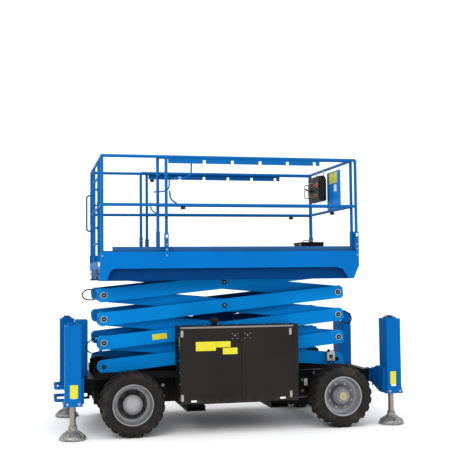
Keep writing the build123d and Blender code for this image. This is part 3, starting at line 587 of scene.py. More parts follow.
# Valve block beside the fixed arm pin: machined aluminium with hexagon plugs,
# a solenoid coil and a lever for lowering by hand.
machined = Finish("machined_aluminium", metallic=0.8, specular=0.5)
feed = machined.noise(90, 3, (1, 1, 8))
machined.mottle((0.34, 0.34, 0.34), (0.56, 0.56, 0.56), feed, 0.30, 0.2)
machined.relief(feed, 0.0002, edge=0.002)
valve = Shape()
valve.block((1.0925, -0.5210, 0.6745), (1.1835, -0.4740, 0.7735), 0.003)
for x, z in ((1.110, 0.755), (1.110, 0.692), (1.166, 0.755), (1.166, 0.692)):
    valve.turned(
        [(0, 0.008), (0.008, 0.008), (0.009, 0.006), (0.009, 0)],
        towards((x, -0.5208, z), (0, -1, 0)), 6, finish=1
    )
valve.turned(
    [
        (0, 0.030), (0.006, 0.030), (0.006, 0.022), (0.017, 0.022), (0.019, 0.019), (0.019, 0.002),
        (0.017, 0)
    ],
    towards((1.118, -0.498, 0.7735), (0, 0, 1)), 24, finish=2
)
valve.turned(
    [(0, 0.020), (0.009, 0.020), (0.010, 0.018), (0.010, 0)],
    towards((1.160, -0.498, 0.7735), (0, 0, 1)), 6, finish=1
)
valve.tube(
    [
        (1.138, -0.5330, 0.724), (1.138, -0.5450, 0.724), (1.150, -0.5450, 0.700),
        (1.158, -0.5450, 0.664)
    ],
    0.004, 10, finish=1, bend=0.012
)
valve.tube([(1.155, -0.5450, 0.672), (1.161, -0.5450, 0.648)], 0.0065, 12, finish=3)
valve.piece("valve_block_detail", "chassis", "bare_steel", machined, plated, black_paint, rubber)

# Wheels: broad rough-terrain tyres with chevron lugs on painted steel rims.
# Two pieces a tyre in the mould, bolted to the hub by a ring of eight nuts.
tread = Finish("tyre_rubber", specular=0.25)
bite = tread.noise(70, 5)
mud = tread.noise(6, 4)
rubber_black = tread.mix((0.010, 0.009, 0.0085), (0.028, 0.025, 0.023), bite)
tread.put(
    "Base Color", tread.mix(rubber_black, (0.085, 0.068, 0.055), tread.step(mud, 0.48, 0.75) * 0.45)
)
tread.put("Roughness", 0.62 + bite * 0.25)
tread.relief(tread.noise(220, 4), 0.0006)

wheel_radius = 0.330
axles = {"rear": -1.090, "front": 1.150}
sides = (("near", -1), ("far", 1))
carcass_radius = 0.3125
carcass = [
    (0.2102, -0.112), (0.214, -0.130), (0.222, -0.1385), (0.230, -0.1415),
    (0.234, -0.1465), (0.238, -0.1465), (0.241, -0.1440), (0.256, -0.1490),
    (0.268, -0.1510), (0.270, -0.1522), (0.274, -0.1522), (0.276, -0.1508),
    (0.288, -0.1480), (0.300, -0.1410), (0.3075, -0.128), (0.3110, -0.100),
    (carcass_radius, -0.050),
]
carcass = carcass + [(carcass_radius, 0)] + [(r, -d) for r, d in reversed(carcass)]


def lug_mesh(hand):
    """One chevron lug, from low on the shoulder to just past the middle of the tread."""
    part = bmesh.new()
    stations = [
        (0.1490, 0.2860, 0.2930, 0.0),
        (0.1460, 0.2970, 0.3050, 0.4),
        (0.1390, 0.3020, 0.3165, 1.1),
        (0.1285, 0.3055, 0.3238, 2.2),
        (0.1150, 0.3075, 0.3285, 3.8),
        (0.0950, 0.3090, 0.3292, 5.6),
        (0.0500, 0.3105, 0.3298, 9.4),
        (0.0100, 0.3105, 0.3300, 12.0),
        (-0.0120, 0.3105, 0.3285, 13.0),
    ]
    rings = []
    for y, low, high, turn in stations:
        centre = math.radians(turn)
        foot, crest = 0.024 / low, 0.0185 / high
        ring = []
        for radius, half_width in (
            (low - 0.004, -foot), (high, -crest), (high, crest), (low - 0.004, foot)
        ):
            at = hand * (centre + half_width)
            ring.append(part.verts.new((radius * math.sin(at), hand * y, radius * math.cos(at))))
        rings.append(ring)
    for lower, upper in zip(rings, rings[1:]):
        for n in range(4):
            m = (n + 1) % 4
            part.faces.new((lower[n], lower[m], upper[m], upper[n]))
    part.faces.new(rings[0])
    part.faces.new(rings[-1])
    bmesh.ops.recalc_face_normals(part, faces=part.faces)
    bmesh.ops.bevel(part, geom=part.edges[:], offset=0.0025, segments=2, affect="EDGES")
    mesh = bpy.data.meshes.new("lug")
    part.to_mesh(mesh)
    part.free()
    return mesh


ring = Recipe("lug_ring", {"Lug": "Object", "Count": "Int", "Phase": "Float", "Finish": "Material"})
lug_shape = ring.node("GeometryNodeObjectInfo", None, {"Object": ring.given["Lug"]}, out="Geometry")
spots = ring.node("GeometryNodePoints", None, {"Count": ring.given["Count"]})
index = ring.node("GeometryNodeInputIndex")
share = ring.node("ShaderNodeMath", {"operation": "DIVIDE"}, {0: index, 1: ring.given["Count"]})
share = ring.node("ShaderNodeMath", {"operation": "ADD"}, {0: share, 1: ring.given["Phase"]})
swing = ring.node("ShaderNodeMath", {"operation": "MULTIPLY"}, {0: share, 1: 2 * math.pi})
swing = ring.node("ShaderNodeCombineXYZ", None, {"Y": swing})
ring.scatter(spots, lug_shape, Rotation=swing)

lug_count = 21
lug_rings = []
for hand, phase in ((1, 0.0), (-1, 0.5 / lug_count)):
    lug = linked("lug", lug_mesh(hand))
    sizes = {"Lug": lug, "Count": lug_count, "Phase": phase, "Finish": tread.material}
    lug_rings.append(ring.make("lug_ring", point_cloud("host", [(0, 0, 0)]), sizes))
    bpy.data.objects.remove(lug)


def rim_finish(name, x, bands):
    """Rim paint whose bands follow the distance from the wheel's axis."""
    paint = Finish(name, metallic=0.35, specular=0.4)
    grain = paint.noise(90, 4)
    dirt = paint.noise(9, 4)
    split = paint.node(
        "VectorMath", {"operation": "SUBTRACT"}, {0: paint.place, 1: (x, 0, wheel_radius)}
    )
    flat = paint.node("VectorMath", {"operation": "MULTIPLY"}, {0: split, 1: (4.0, 0, 4.0)})
    away = paint.node("VectorMath", {"operation": "LENGTH"}, {0: flat}, out="Value")
    banded = paint.node("ValToRGB", {"stops": bands}, {"Fac": away})
    paint.put(
        "Base Color", paint.mix(banded, (0.10, 0.085, 0.07), paint.step(dirt, 0.5, 0.8) * 0.5)
    )
    paint.put("Roughness", 0.34 + grain * 0.25)
    paint.relief(paint.noise(300, 2), 0.0002, edge=0.002)
    return paint


silver, shade, pewter = (0.27, 0.275, 0.285), (0.030, 0.028, 0.028), (0.20, 0.205, 0.22)
rim_bands = {
    "rear": [
        (0.0, (0.36, 0.36, 0.37)), (0.38, (0.30, 0.30, 0.31)), (0.43, shade), (0.58, shade),
        (0.64, silver)
    ],
    "front": [
        (0.0, pewter), (0.40, pewter), (0.46, (0.12, 0.12, 0.13)), (0.60, pewter),
        (0.68, (0.33, 0.34, 0.36))
    ],
}
rim_paints = {end: rim_finish(end + "_rim_paint", x, rim_bands[end]) for end, x in axles.items()}
cream = Finish("cream_cap", specular=0.3, roughness=0.5)
cream.mottle((0.42, 0.38, 0.24), (0.28, 0.25, 0.16), cream.noise(40, 4))
cream.relief(cream.noise(200), 0.0002)
tyre_y = 0.7225


def bolt_circle(x, side, radius, out, phase):
    """Eight places round a wheel's axis, so far out from the tyre's middle plane."""
    places = []
    for n in range(8):
        t = 2 * math.pi * (n + phase) / 8
        at = (x + radius * math.cos(t), side * (tyre_y + out), wheel_radius + radius * math.sin(t))
        places.append((at, (0, side, 0)))
    return places


for end, x in axles.items():
    for side_name, side in sides:
        middle = Matrix.Translation((x, side * tyre_y, wheel_radius))
        body = f"wheel_{end}_{side_name}"
        shape = Shape()
        shape.turned(carcass, middle @ Matrix.Rotation(math.radians(90), 4, "X"), 96, closed=True)
        for made in lug_rings:
            copy = made.data.copy()
            copy.transform(middle @ Matrix.Rotation(math.pi if side < 0 else 0, 4, "Z"))
            shape.mesh.from_mesh(copy)
        for face in shape.mesh.faces:
            face.material_index = 0
        tyre = shape.piece(f"lugged_tyre_{end}_{side_name}", body, "tread_rubber", tread)
        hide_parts(f"tyre_{end}_{side_name}")
        dress(rim_paints[end], "rim_paint", f"rim_{end}_{side_name}")
        nuts = bolt_circle(x, side, 0.130, 0.0342, 0.5)
        nut_finish = black_paint if end == "rear" else plated
        bolt_set(
            f"wheel_nuts_{end}_{side_name}", body, nuts, 0.011, 0.012, 0.015, finish=nut_finish
        )
        # The hub's turned end: ribbed and silver behind, with a cream cap in front.
        hub = Shape()
        outward = towards((x, side * (tyre_y + 0.130), wheel_radius), (0, side, 0))
        if end == "rear":
            ribs = [
                (0.0, 0.016), (0.012, 0.016), (0.014, 0.010), (0.024, 0.010), (0.026, 0.013),
                (0.036, 0.013)
            ]
            ribs = ribs + [
                (0.038, 0.007), (0.048, 0.007), (0.050, 0.010), (0.060, 0.010), (0.062, 0.004),
                (0.069, 0.0002)
            ]
            hub.turned(ribs, outward, 48)
            hub.piece(f"hub_end_{end}_{side_name}", body, "rim_paint", rim_paints[end])
        else:
            cap = [
                (0.0, 0.020), (0.010, 0.020), (0.012, 0.016), (0.040, 0.015), (0.046, 0.010),
                (0.048, 0.0002)
            ]
            hub.turned(cap, outward, 40)
            hub.turned([(0.0, 0.024), (0.007, 0.024), (0.009, 0.019)], outward, 12, finish=1)
            hub.piece(f"hub_cap_{end}_{side_name}", body, "rim_paint", cream, plated)
            screws = bolt_circle(x, side, 0.058, 0.1302, 0)
            bolt_set(f"hub_bolts_{end}_{side_name}", body, screws, 0.006, 0.006, 0.008)
for made in lug_rings:
    bpy.data.objects.remove(made)

# Outriggers: square steel columns with a flared collar, painted in the same blue as the arms. Here
# that blue is a darker copy than the arms' one, and the step between the two is painted light and
# shade, not a second paint.
# A hard chromed leg slides out of each and stands on a cast, ribbed foot.
blue_paint = coated(
    "body_blue_paint", (0.0004, 0.128, 0.37), (0.0006, 0.108, 0.32), (0.06, 0.32, 0.62),
    low=(0.1, 0.45), specular=0.06, gloss=0.42
)
columns = {"rear": -1.688, "front": 1.737}
column_y = 0.746
for end, x in columns.items():
    inward = 1 if end == "rear" else -1
    for side_name, side in sides:
        y = side * column_y
        dress(blue_paint, "body_blue", f"outrigger_housing_{end}_{side_name}")
        screws = []
        for dx in (-0.058, 0.058):
            screws.append(((x + dx, side * 0.8645, 0.365), (0, side, 0.18)))
        for dy in (-0.075, 0.075):
            screws.append(((x - inward * 0.0945, y + dy, 0.365), (-inward, 0, 0.18)))
        face = x + inward * 0.0802
        painted = []
        for dz in (0.50, 0.72, 0.95, 1.08):
            painted.append(((x - inward * 0.0802, y - side * 0.085, dz), (-inward, 0, 0)))
            painted.append(((face, y + side * 0.080, dz), (inward, 0, 0)))
        bolt_set(
            f"column_rivets_{end}_{side_name}", "chassis", painted, 0.007, 0.005, 0.010,
            blue_paint
        )
        # Bracket bolts beside the column, as the photograph shows them.
        for dy, dz in ((0.24, 0.585), (0.24, 0.40), (0.10, 0.385)):
            screws.append(((face + inward * 0.0302, y - side * dy, dz), (inward, 0, 0)))
        bolt_set(f"column_bolts_{end}_{side_name}", "chassis", screws, 0.009, 0.007, 0.014)
        cap = Shape()
        cap.turned(
            [(0, 0.012), (0.018, 0.012), (0.022, 0.008), (0.030, 0.006), (0.032, 0.0002)],
            towards((x, y, 1.158), (0, 0, 1)), 24
        )
        for dy in (-0.045, 0.045):
            cap.tube(
                [
                    (x - 0.03, y + dy, 1.159), (x - 0.03, y + dy, 1.170), (x + 0.03, y + dy, 1.170),
                    (x + 0.03, y + dy, 1.159)
                ],
                0.004, 8, bend=0.008
            )
        cap.piece(
            f"column_cap_{end}_{side_name}", "chassis", "body_blue",
            blue_paint if end == "rear" else black_paint
        )
rear_plates = [(-1.720, 0.423, -1.641, 0.554, 0), (-1.706, 0.418, -1.652, 0.4222, 1)]
plate_set("rear_column_plates", "chassis", -0.850, rear_plates)
front_plates = [(1.690, 0.440, 1.757, 0.575, 0), (1.700, 0.4165, 1.755, 0.4385, 1)]
plate_set("front_column_plates", "chassis", -0.850, front_plates)
chrome = Finish("chromed_leg", metallic=1.0, specular=0.5)
ring_marks = chrome.noise(14, 5, (1, 1, 30))
chrome.mottle((0.17, 0.155, 0.135), (0.40, 0.38, 0.35), ring_marks, 0.20, 0.22)
chrome.relief(ring_marks, 0.0001)
cast = Finish("cast_foot", metallic=0.75, specular=0.4)
pits = cast.noise(85, 6)
cast.mottle((0.10, 0.10, 0.10), (0.46, 0.45, 0.44), cast.step(pits, 0.36, 0.62))
cast.put("Roughness", 0.36 + pits * 0.35)
cast.relief(cast.noise(140, 6), 0.0016, edge=0.003)
for end, x in columns.items():
    for side_name, side in sides:
        dress(chrome, "chrome_rod", f"jack_leg_{end}_{side_name}")
        dress(cast, "cast_pad", f"jack_pad_{end}_{side_name}")
        wiper = Shape()
        rings_up = [
            (0.0302, 0.0), (0.046, 0.0), (0.048, 0.004), (0.044, 0.012), (0.036, 0.016),
            (0.0302, 0.014)
        ]
        wiper.turned(rings_up, Matrix.Translation((x, side * column_y, 0.386)), 32, closed=True)
        wiper.piece(f"leg_wiper_{end}_{side_name}", "chassis", "black_plastic", rubber)
        pin = Shape()
        for t in range(4):
            a = math.pi / 2 * t + 0.5
            place = towards(
                (x + 0.0435 * math.cos(a), side * column_y + 0.0435 * math.sin(a), 0.110),
                (math.cos(a), math.sin(a), 0)
            )
            pin.turned([(0, 0.006), (0.005, 0.006), (0.006, 0.004), (0.006, -0.001)], place, 12)
        pin.turned(
            [(0.0302, 0.0), (0.040, 0.0), (0.042, 0.006), (0.034, 0.014), (0.0302, 0.014)],
            Matrix.Translation((x, side * column_y, 0.1302)), 32, closed=True
        )
        pin.piece(f"foot_pin_{end}_{side_name}", f"jack_{end}_{side_name}", "bare_steel", plated)

# Entry ladder, bolted to the rear beam: bent tube treads with a punched grip
# strip. The ground controls stand over it in a folded sheet housing.
dress(blue_paint, "body_blue", "entry_ladder")
studs = Recipe("grip_studs", {"Radius": "Float", "Height": "Float", "Finish": "Material"})
stud = studs.node(
    "GeometryNodeMeshCone",
    None,
    {
        "Vertices": 8, "Radius Top": 0.0015, "Radius Bottom": studs.given["Radius"],
        "Depth": studs.given["Height"]
    },
)
studs.scatter(studs.given["Geometry"], stud)
grip_places = []
for z in (0.336, 0.466):
    for row in range(2):
        for n in range(17):
            grip_places.append((-1.846 + row * 0.013, -0.176 + n * 0.022, z))
sizes = {"Radius": 0.004, "Height": 0.0025, "Finish": blue_paint.material}
grips = studs.make("ladder_grip_studs", point_cloud("grip_places", grip_places), sizes)
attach(grips, "chassis")
ladder_bolts = [((-1.5902, y, z), (-1, 0, 0)) for y in (-0.20, 0.20) for z in (0.39, 0.53)]
bolt_set("ladder_bolts", "chassis", ladder_bolts, 0.009, 0.007, 0.014)

plastic = Finish("black_plastic", specular=0.35)
tooth = plastic.noise(420, 2)
plastic.mottle((0.007, 0.0075, 0.009), (0.022, 0.024, 0.027), plastic.noise(12, 4))
plastic.put("Roughness", 0.45 + tooth * 0.2)
plastic.relief(tooth, 0.0004, edge=0.002)
red = Finish("stop_button_red", specular=0.4, roughness=0.35)
red.mottle((0.50, 0.010, 0.008), (0.36, 0.010, 0.008), red.noise(40))
amber = Finish("lamp_amber", specular=0.5, roughness=0.2)
amber.mottle((0.80, 0.26, 0.01), (0.62, 0.18, 0.01), amber.noise(90))
dress(blue_paint, "body_blue", "ground_control_housing")
panel = Shape()
panel_x = -1.6343
panel.block((-1.6345, -0.118, 0.66), (-1.6292, 0.118, 1.10), 0.002)
for y in (-0.075, -0.025, 0.025, 0.075):
    panel.turned(
        [(0, 0.020), (0.004, 0.020), (0.005, 0.016), (0.0045, 0.004), (0.010, 0.002), (0.011, 0)],
        towards((panel_x, y, 0.90), (-1, 0, 0)), 16, finish=1
    )
panel.turned(
    [(0, 0.026), (0.020, 0.024), (0.024, 0.017), (0.022, 0.012), (0.012, 0.010), (0.012, 0)],
    towards((panel_x, 0.07, 1.03), (-1, 0, 0)), 28, finish=2
)
panel.turned(
    [(0, 0.006), (0.022, 0.005), (0.024, 0)], towards((panel_x, -0.06, 1.03), (-1, 0, 0)), 28,
    finish=1
)
panel.block((-1.6375, -0.09, 0.70), (-1.6340, 0.09, 0.84), 0.002, finish=1)
panel.tube(
    [(-1.6345, 0.125, 0.80), (-1.655, 0.125, 0.80), (-1.655, 0.125, 0.95), (-1.6345, 0.125, 0.95)],
    0.004, 10, finish=1, bend=0.012
)
for z in (0.72, 1.06):
    panel.block((-1.636, -0.140, z - 0.03), (-1.628, -0.110, z + 0.03), 0.0015, finish=1)
panel.piece("ground_control_panel", "chassis", "black_plastic", plastic, plated, red)

# Side boxes: folded sheet with two hinged doors each, sprayed a dark warm grey.
# One holds the engine, the other the tank, and both hang over the fork pockets.
box_paint = coated(
    "side_box_paint", (0.016, 0.0130, 0.0125), (0.023, 0.019, 0.018), (0.16, 0.15, 0.14), dust=0.10,
    low=(0.2, 0.42), specular=0.18, gloss=0.44
)
lip_paint = coated(
    "box_lip_paint", (0.22, 0.212, 0.205), (0.28, 0.27, 0.26), (0.3, 0.3, 0.3), dust=0.3,
    low=(-1, 0), specular=0.3
)
for side_name in ("near", "far"):
    dress(
        box_paint, "chassis_black", f"side_box_{side_name}", f"rear_door_{side_name}",
        f"front_door_{side_name}"
    )
steel = Finish("tank_and_engine", metallic=0.5)
scale = steel.noise(30, 5)
steel.mottle((0.10, 0.10, 0.10), (0.30, 0.30, 0.29), scale, 0.38, 0.25)
steel.relief(steel.noise(120, 4), 0.0006, edge=0.004)
dress(steel, "cast_pad", "engine_block")
dress(steel, "bare_steel", "hydraulic_tank")
box_face = 0.870
for side_name, side in sides:
    face = side * box_face
    # Leaves of the hinges, in bright plate, with two screws in each.
    screws = {"rear": [], "front": []}
    leaves = {"rear": Shape(), "front": Shape()}
    for z in (0.382, 1.035):
        for door, x0, x1 in (("rear", -0.605, -0.576), ("front", 0.552, 0.580)):
            low, high = sorted((face, face + side * 0.0022))
            leaves[door].block((x0, low, z - 0.034), (x1, high, z + 0.034), 0.0008)
            for dz in (-0.02, 0.02):
                screws[door].append((((x0 + x1) / 2, face + side * 0.0022, z + dz), (0, side, 0)))
    for door, latch_x in (("rear", -0.035), ("front", 0.101)):
        body = f"{door}_door_{side_name}"
        leaves[door].piece(f"{door}_hinge_leaves_{side_name}", body, "bare_steel", plated)
        bolt_set(f"{door}_hinge_screws_{side_name}", body, screws[door], 0.005, 0.003, 0.007)
        # The paddle latch: a flap in the pressed frame, its lock, and four screws.
        latch = Shape()
        low, high = sorted((face + side * 0.0005, face + side * 0.0032))
        latch.block((latch_x - 0.0225, low, 0.990), (latch_x + 0.0225, high, 1.020), 0.0012)
        latch.tube(
            [
                (latch_x - 0.020, face + side * 0.003, 0.992),
                (latch_x + 0.020, face + side * 0.003, 0.992)
            ],
            0.0035, 10
        )
        latch.turned(
            [(0, 0.003), (0.006, 0.003), (0.007, 0.001), (0.007, -0.001)],
            towards((latch_x, face + side * 0.0035, 1.009), (0, side, 0)), 20, finish=1
        )
        low, high = sorted((face + side * 0.0041, face + side * 0.0052))
        for x0, x1, z0, z1 in (
            (-0.0345, -0.0240, 0.9705, 1.0315),
            (0.0240, 0.0345, 0.9705, 1.0315),
            (-0.0240, 0.0240, 0.9705, 0.9868),
            (-0.0240, 0.0240, 1.0212, 1.0315),
        ):
            latch.block((latch_x + x0, low, z0), (latch_x + x1, high, z1), 0.0003)
        latch.piece(f"{door}_latch_{side_name}", body, "black_plastic", plastic, plated)
        corners = [
            (
                (latch_x + dx, side * 0.8753, 1.001 + dz), (0, side, 0)
            ) for dx in (-0.029, 0.029) for dz in (-0.025, 0.025)
        ]
        bolt_set(f"{door}_latch_screws_{side_name}", body, corners, 0.0035, 0.002, 0.0048)
    # A rubber trim along the lid's edge and drip rail over the doors.
    trim = Shape()
    low, high = sorted((side * 0.862, side * 0.8715))
    trim.block((-0.606, low, 1.0855), (0.600, high, 1.0925), 0.002)
    low, high = sorted((side * 0.858, side * 0.8640))
    trim.block((-0.606, low, 1.0850), (0.600, high, 1.1035), 0.001)
    trim.piece(f"box_drip_rail_{side_name}", "chassis", "chassis_black", lip_paint)
    feet = Shape()
    for x in (-0.435, 0.462):
        for dx in (-0.085, 0.085):
            feet.turned(
                [(0, -0.016), (0.014, -0.016), (0.018, -0.012), (0.018, 0)],
                Matrix.Translation((x + dx, side * 0.72, 0.3118)), 20
            )
    feet.piece(f"box_feet_{side_name}", "chassis", "hose_rubber", rubber)
    lids = []
    for x in (-0.56, -0.30, 0.05, 0.35, 0.60):
        lids.append(((x, side * 0.600, 1.105), (0, 0, 1)))
    bolt_set(f"box_lid_bolts_{side_name}", "chassis", lids, 0.007, 0.005, 0.011)
upper_plates = [(-0.448, 0.855, -0.236, 0.950, 0), (-0.233, 0.888, -0.082, 0.950, 0)]
lower_plates = [(-0.165, 0.815, -0.008, 0.882, 0), (-0.500, 0.336, -0.442, 0.356, 1)]
plate_set("rear_door_plates_near", "rear_door_near", -box_face, upper_plates + lower_plates)
plate_set("front_door_plates_near", "front_door_near", -box_face, [(0.445, 0.336, 0.505, 0.356, 1)])
plate_set("rear_door_plates_far", "rear_door_far", box_face, upper_plates)
# Narrow yellow plate and bolts on the near box's rear end panel.
end_plate = Shape()
end_plate.block((-0.6122, -0.835, 0.90), (-0.6108, -0.812, 1.00), 0.0003)
end_plate.piece("box_end_plate", "chassis", "rail_steel", blank_yellow)
end_screws = []
for z in (0.40, 0.52, 0.64, 0.76, 0.88):
    end_screws.append(((-0.6112, -0.842, z), (-1, 0, 0)))
bolt_set("box_end_screws", "chassis", end_screws, 0.006, 0.004, 0.009)
# The intake hood's mesh band and clamp.
hood = Shape()
hood.turned(
    [(0.0272, 0.0), (0.034, 0.0), (0.034, 0.014), (0.0272, 0.014)],
    Matrix.Translation((-0.197, -0.612, 1.109)), 28, closed=True
)
hood.block((-0.169, -0.618, 1.109), (-0.152, -0.606, 1.123), 0.001, finish=1)
hood.piece("intake_clamp", "chassis", "black_plastic", rubber, plated)

# Scissor arms: rectangular tube in eight pinned pairs, with cross tubes welded
# between them. Each pin ends in a collar held by one bolt and a dark retaining disc.
# A lighter copy of the columns' body blue. The step between the two is painted light for the light
# the arms catch; both are one paint on the machine.
arm_paint_painted_light = coated(
    "arm_blue_paint_painted_light", (0.0003, 0.210, 0.53), (0.0005, 0.175, 0.46), (0.06, 0.36, 0.62),
    low=(0.1, 0.45), specular=0.06, gloss=0.42
)
levels = (1, 2, 3, 4)
for n in levels:
    dress(arm_paint_painted_light, "body_blue", f"inner_arms_{n}", f"outer_arms_{n}")
arm_length, arm_rise, lowest_pin = 2.592, 0.248, 0.689
tilt = math.asin(arm_rise / arm_length)
arm_run = math.sqrt(arm_length**2 - arm_rise**2)
right_x = 1.224
left_x, middle_x = right_x - arm_run, right_x - arm_run / 2
ring_steel = Finish("pin_ring_steel", metallic=0.9, specular=0.5)
turn_marks = ring_steel.noise(160, 3)
ring_steel.mottle((0.38, 0.36, 0.33), (0.60, 0.58, 0.54), turn_marks, 0.25, 0.25)
for n in levels:
    low = lowest_pin + (n - 1) * arm_rise
    pins = [(middle_x, low + arm_rise / 2)]
    if n < 4:
        pins.append((right_x, low + arm_rise))
    if n > 1:
        pins.append((left_x, low))
    heads = []
    shape = Shape()
    for x, z in pins:
        for side in (-1, 1):
            face = side * 0.5352
            ring_profile = [
                (0.0262, 0.0), (0.034, 0.0), (0.034, 0.0022), (0.0325, 0.0034), (0.0272, 0.0034),
                (0.0262, 0.0024)
            ]
            if x != middle_x:
                shape.turned(ring_profile, towards((x, face, z), (0, side, 0)), 36, closed=True)
            disc = [(0, 0.0014), (0.0245, 0.0014), (0.0258, 0.0004), (0.0258, 0.0001)]
            shape.turned(disc, towards((x, face, z), (0, side, 0)), 28, finish=1)
            heads.append(((x, side * 0.5366, z), (0, side, 0)))
    shape.piece(f"pin_rings_{n}", f"outer_arms_{n}", "bare_steel", ring_steel, black_paint)
    bolt_set(f"pin_bolts_{n}", f"outer_arms_{n}", heads, 0.006, 0.004, 0.009)
for side_name, side in sides:
    arm_plate = [(-0.850, 0.962, -0.694, 1.022, 0)]
    plate_set(f"arm_plate_{side_name}", "outer_arms_2", side * 0.530, arm_plate, -tilt)
# Black moulded plugs close the ends of the tubes.
for n in levels:
    z0 = lowest_pin + (n - 1) * arm_rise
    for kind, face_y, first in (("inner", 0.447, -1), ("outer", 0.530, 1)):
        if (n, kind) == (1, "outer"):
            continue
        lean = tilt if kind == "inner" else -tilt
        place = Matrix.Translation((middle_x, 0, z0 + arm_rise / 2)) @ Matrix.Rotation(lean, 4, "Y")
        plug = Shape()
        for side in (-1, 1):
            for end in (-1, 1):
                x0 = end * (arm_length / 2 + 0.062)
                y0, y1 = sorted((side * (face_y - 0.066), side * (face_y - 0.009)))
                xs = sorted((x0, x0 + end * 0.0024))
                plug.block((xs[0], y0, -0.036), (xs[1], y1, 0.036), 0.001, place=place)
        plug.piece(f"{kind}_arm_plugs_{n}", f"{kind}_arms_{n}", "black_plastic", plastic)
# The fixed end of the lowest arms turns between cheeks that are painted with them.
cheeks = Shape()
for start in (-0.4546, 0.4687):
    place = Matrix.Translation((0, start, 0)) @ Matrix.Rotation(math.radians(90), 4, "X")
    outline = [(1.1132, 0.5725), (1.3348, 0.5725), (1.2846, 0.7398), (1.1634, 0.7398)]
    cheeks.prism(outline, 0.0141, place, edge=0.001)
for side in (-1, 1):
    end = [(0, 0.004), (0.021, 0.004), (0.023, 0.002), (0.023, 0)]
    cheeks.turned(end, towards((right_x, side * 0.4685, lowest_pin), (0, side, 0)), 32, finish=1)
cheeks.piece("fixed_pin_cheeks", "chassis", "body_blue", arm_paint_painted_light, black_paint)

# Ferrules where the hoses leave the arm ends.
for name, (body, length, route) in hose_routes.items():
    crimp = Shape()
    for at, after in ((route[0], route[1]), (route[-1], route[-2])):
        if name == "hose_lower_rear" and at == route[-1]:
            continue
        direction = (Vector(after) - Vector(at)).normalized()
        profile = [
            (0.0064, 0.001), (0.0090, 0.001), (0.0092, 0.010), (0.0080, 0.0125), (0.0088, 0.015),
            (0.0086, 0.024), (0.0064, 0.026)
        ]
        crimp.turned(profile, towards(at, direction), 20, closed=True)
    crimp.piece(name + "_ferrules", body, "bare_steel", plated)
dress(
    plastic, "black_plastic", "bottom_slide_block_near", "bottom_slide_block_far",
    "top_slide_block_near", "top_slide_block_far"
)

# Lift cylinder: a seamless steel barrel painted blue, with a ground, chromed rod
# and a screwed gland, on pins between the second and third arm pairs.
dress(blue_paint, "body_blue", "lift_cylinder_barrel")
dress(chrome, "chrome_rod", "lift_cylinder_rod")
barrel_pin = Vector((-0.6231, 0, 1.0141))
barrel_axis = Vector((0.9560, 0, 0.2933))
gland = Shape()
collar = [
    (0.0427, 0.010), (0.057, 0.010), (0.0655, 0.005), (0.0655, -0.030), (0.0642, -0.034),
    (0.0642, -0.036), (0.0427, -0.036)
]
gland.turned(collar, towards(barrel_pin + 0.930 * barrel_axis, barrel_axis), 64, closed=True)
for along in (0.165, 0.875):
    boss = [(0, 0.022), (0.009, 0.022), (0.010, 0.019), (0.010, 0.012), (0.016, 0.010), (0.018, 0)]
    upward = Vector((-barrel_axis.z, 0, barrel_axis.x))
    gland.turned(
        boss, towards(barrel_pin + along * barrel_axis - 0.063 * upward, -upward), 24, finish=1
    )
gland.piece("lift_cylinder_gland", "lift_barrel", "chassis_black", black_paint, plated)

# Platform deck: folded steel skirts round a chequered floor, on cross beams.
# Bright blue topcoat. The skirt's side is left bare, where the real one is lettered.
# Painted shade: the apron recessed under the skirt is coloured a darker blue inside |y| < 0.770 and
# below z = 1.709.
skirt_paint = coated(
    "platform_blue_paint", (0.0004, 0.142, 0.41), (0.0006, 0.128, 0.37), (0.08, 0.32, 0.64),
    low=(-1, 0), specular=0.06, gloss=0.40, painted_shade=(0.770, 1.709, (0.0003, 0.046, 0.155))
)
rail_paint = coated(
    "rail_blue_paint", (0.0010, 0.118, 0.34), (0.0020, 0.098, 0.28), (0.14, 0.34, 0.52),
    low=(-1, 0), specular=0.12, gloss=0.38
)
dress(skirt_paint, "body_blue", "platform_deck")
skirt_bolts = []
for side in (-1, 1):
    for n in range(9):
        skirt_bolts.append(((-1.30 + n * 0.32, side * 0.7482, 1.650), (0, side, 0)))
for y in (-0.70, -0.55, 0.55, 0.70):
    skirt_bolts.append(((-1.4172, y, 1.66), (-1, 0, 0)))
bolt_set("apron_bolts", "platform", skirt_bolts, 0.007, 0.005, 0.011, skirt_paint)
rear_plates = Shape()
rear_plates.block((-1.4185, -0.785, 1.735), (-1.4172, -0.560, 1.775), 0.0004)
rear_plates.block((-1.4185, 0.47, 1.60), (-1.4172, 0.75, 1.70), 0.0004)
rear_plates.piece("rear_end_plates", "platform", "rail_steel", blank_white)

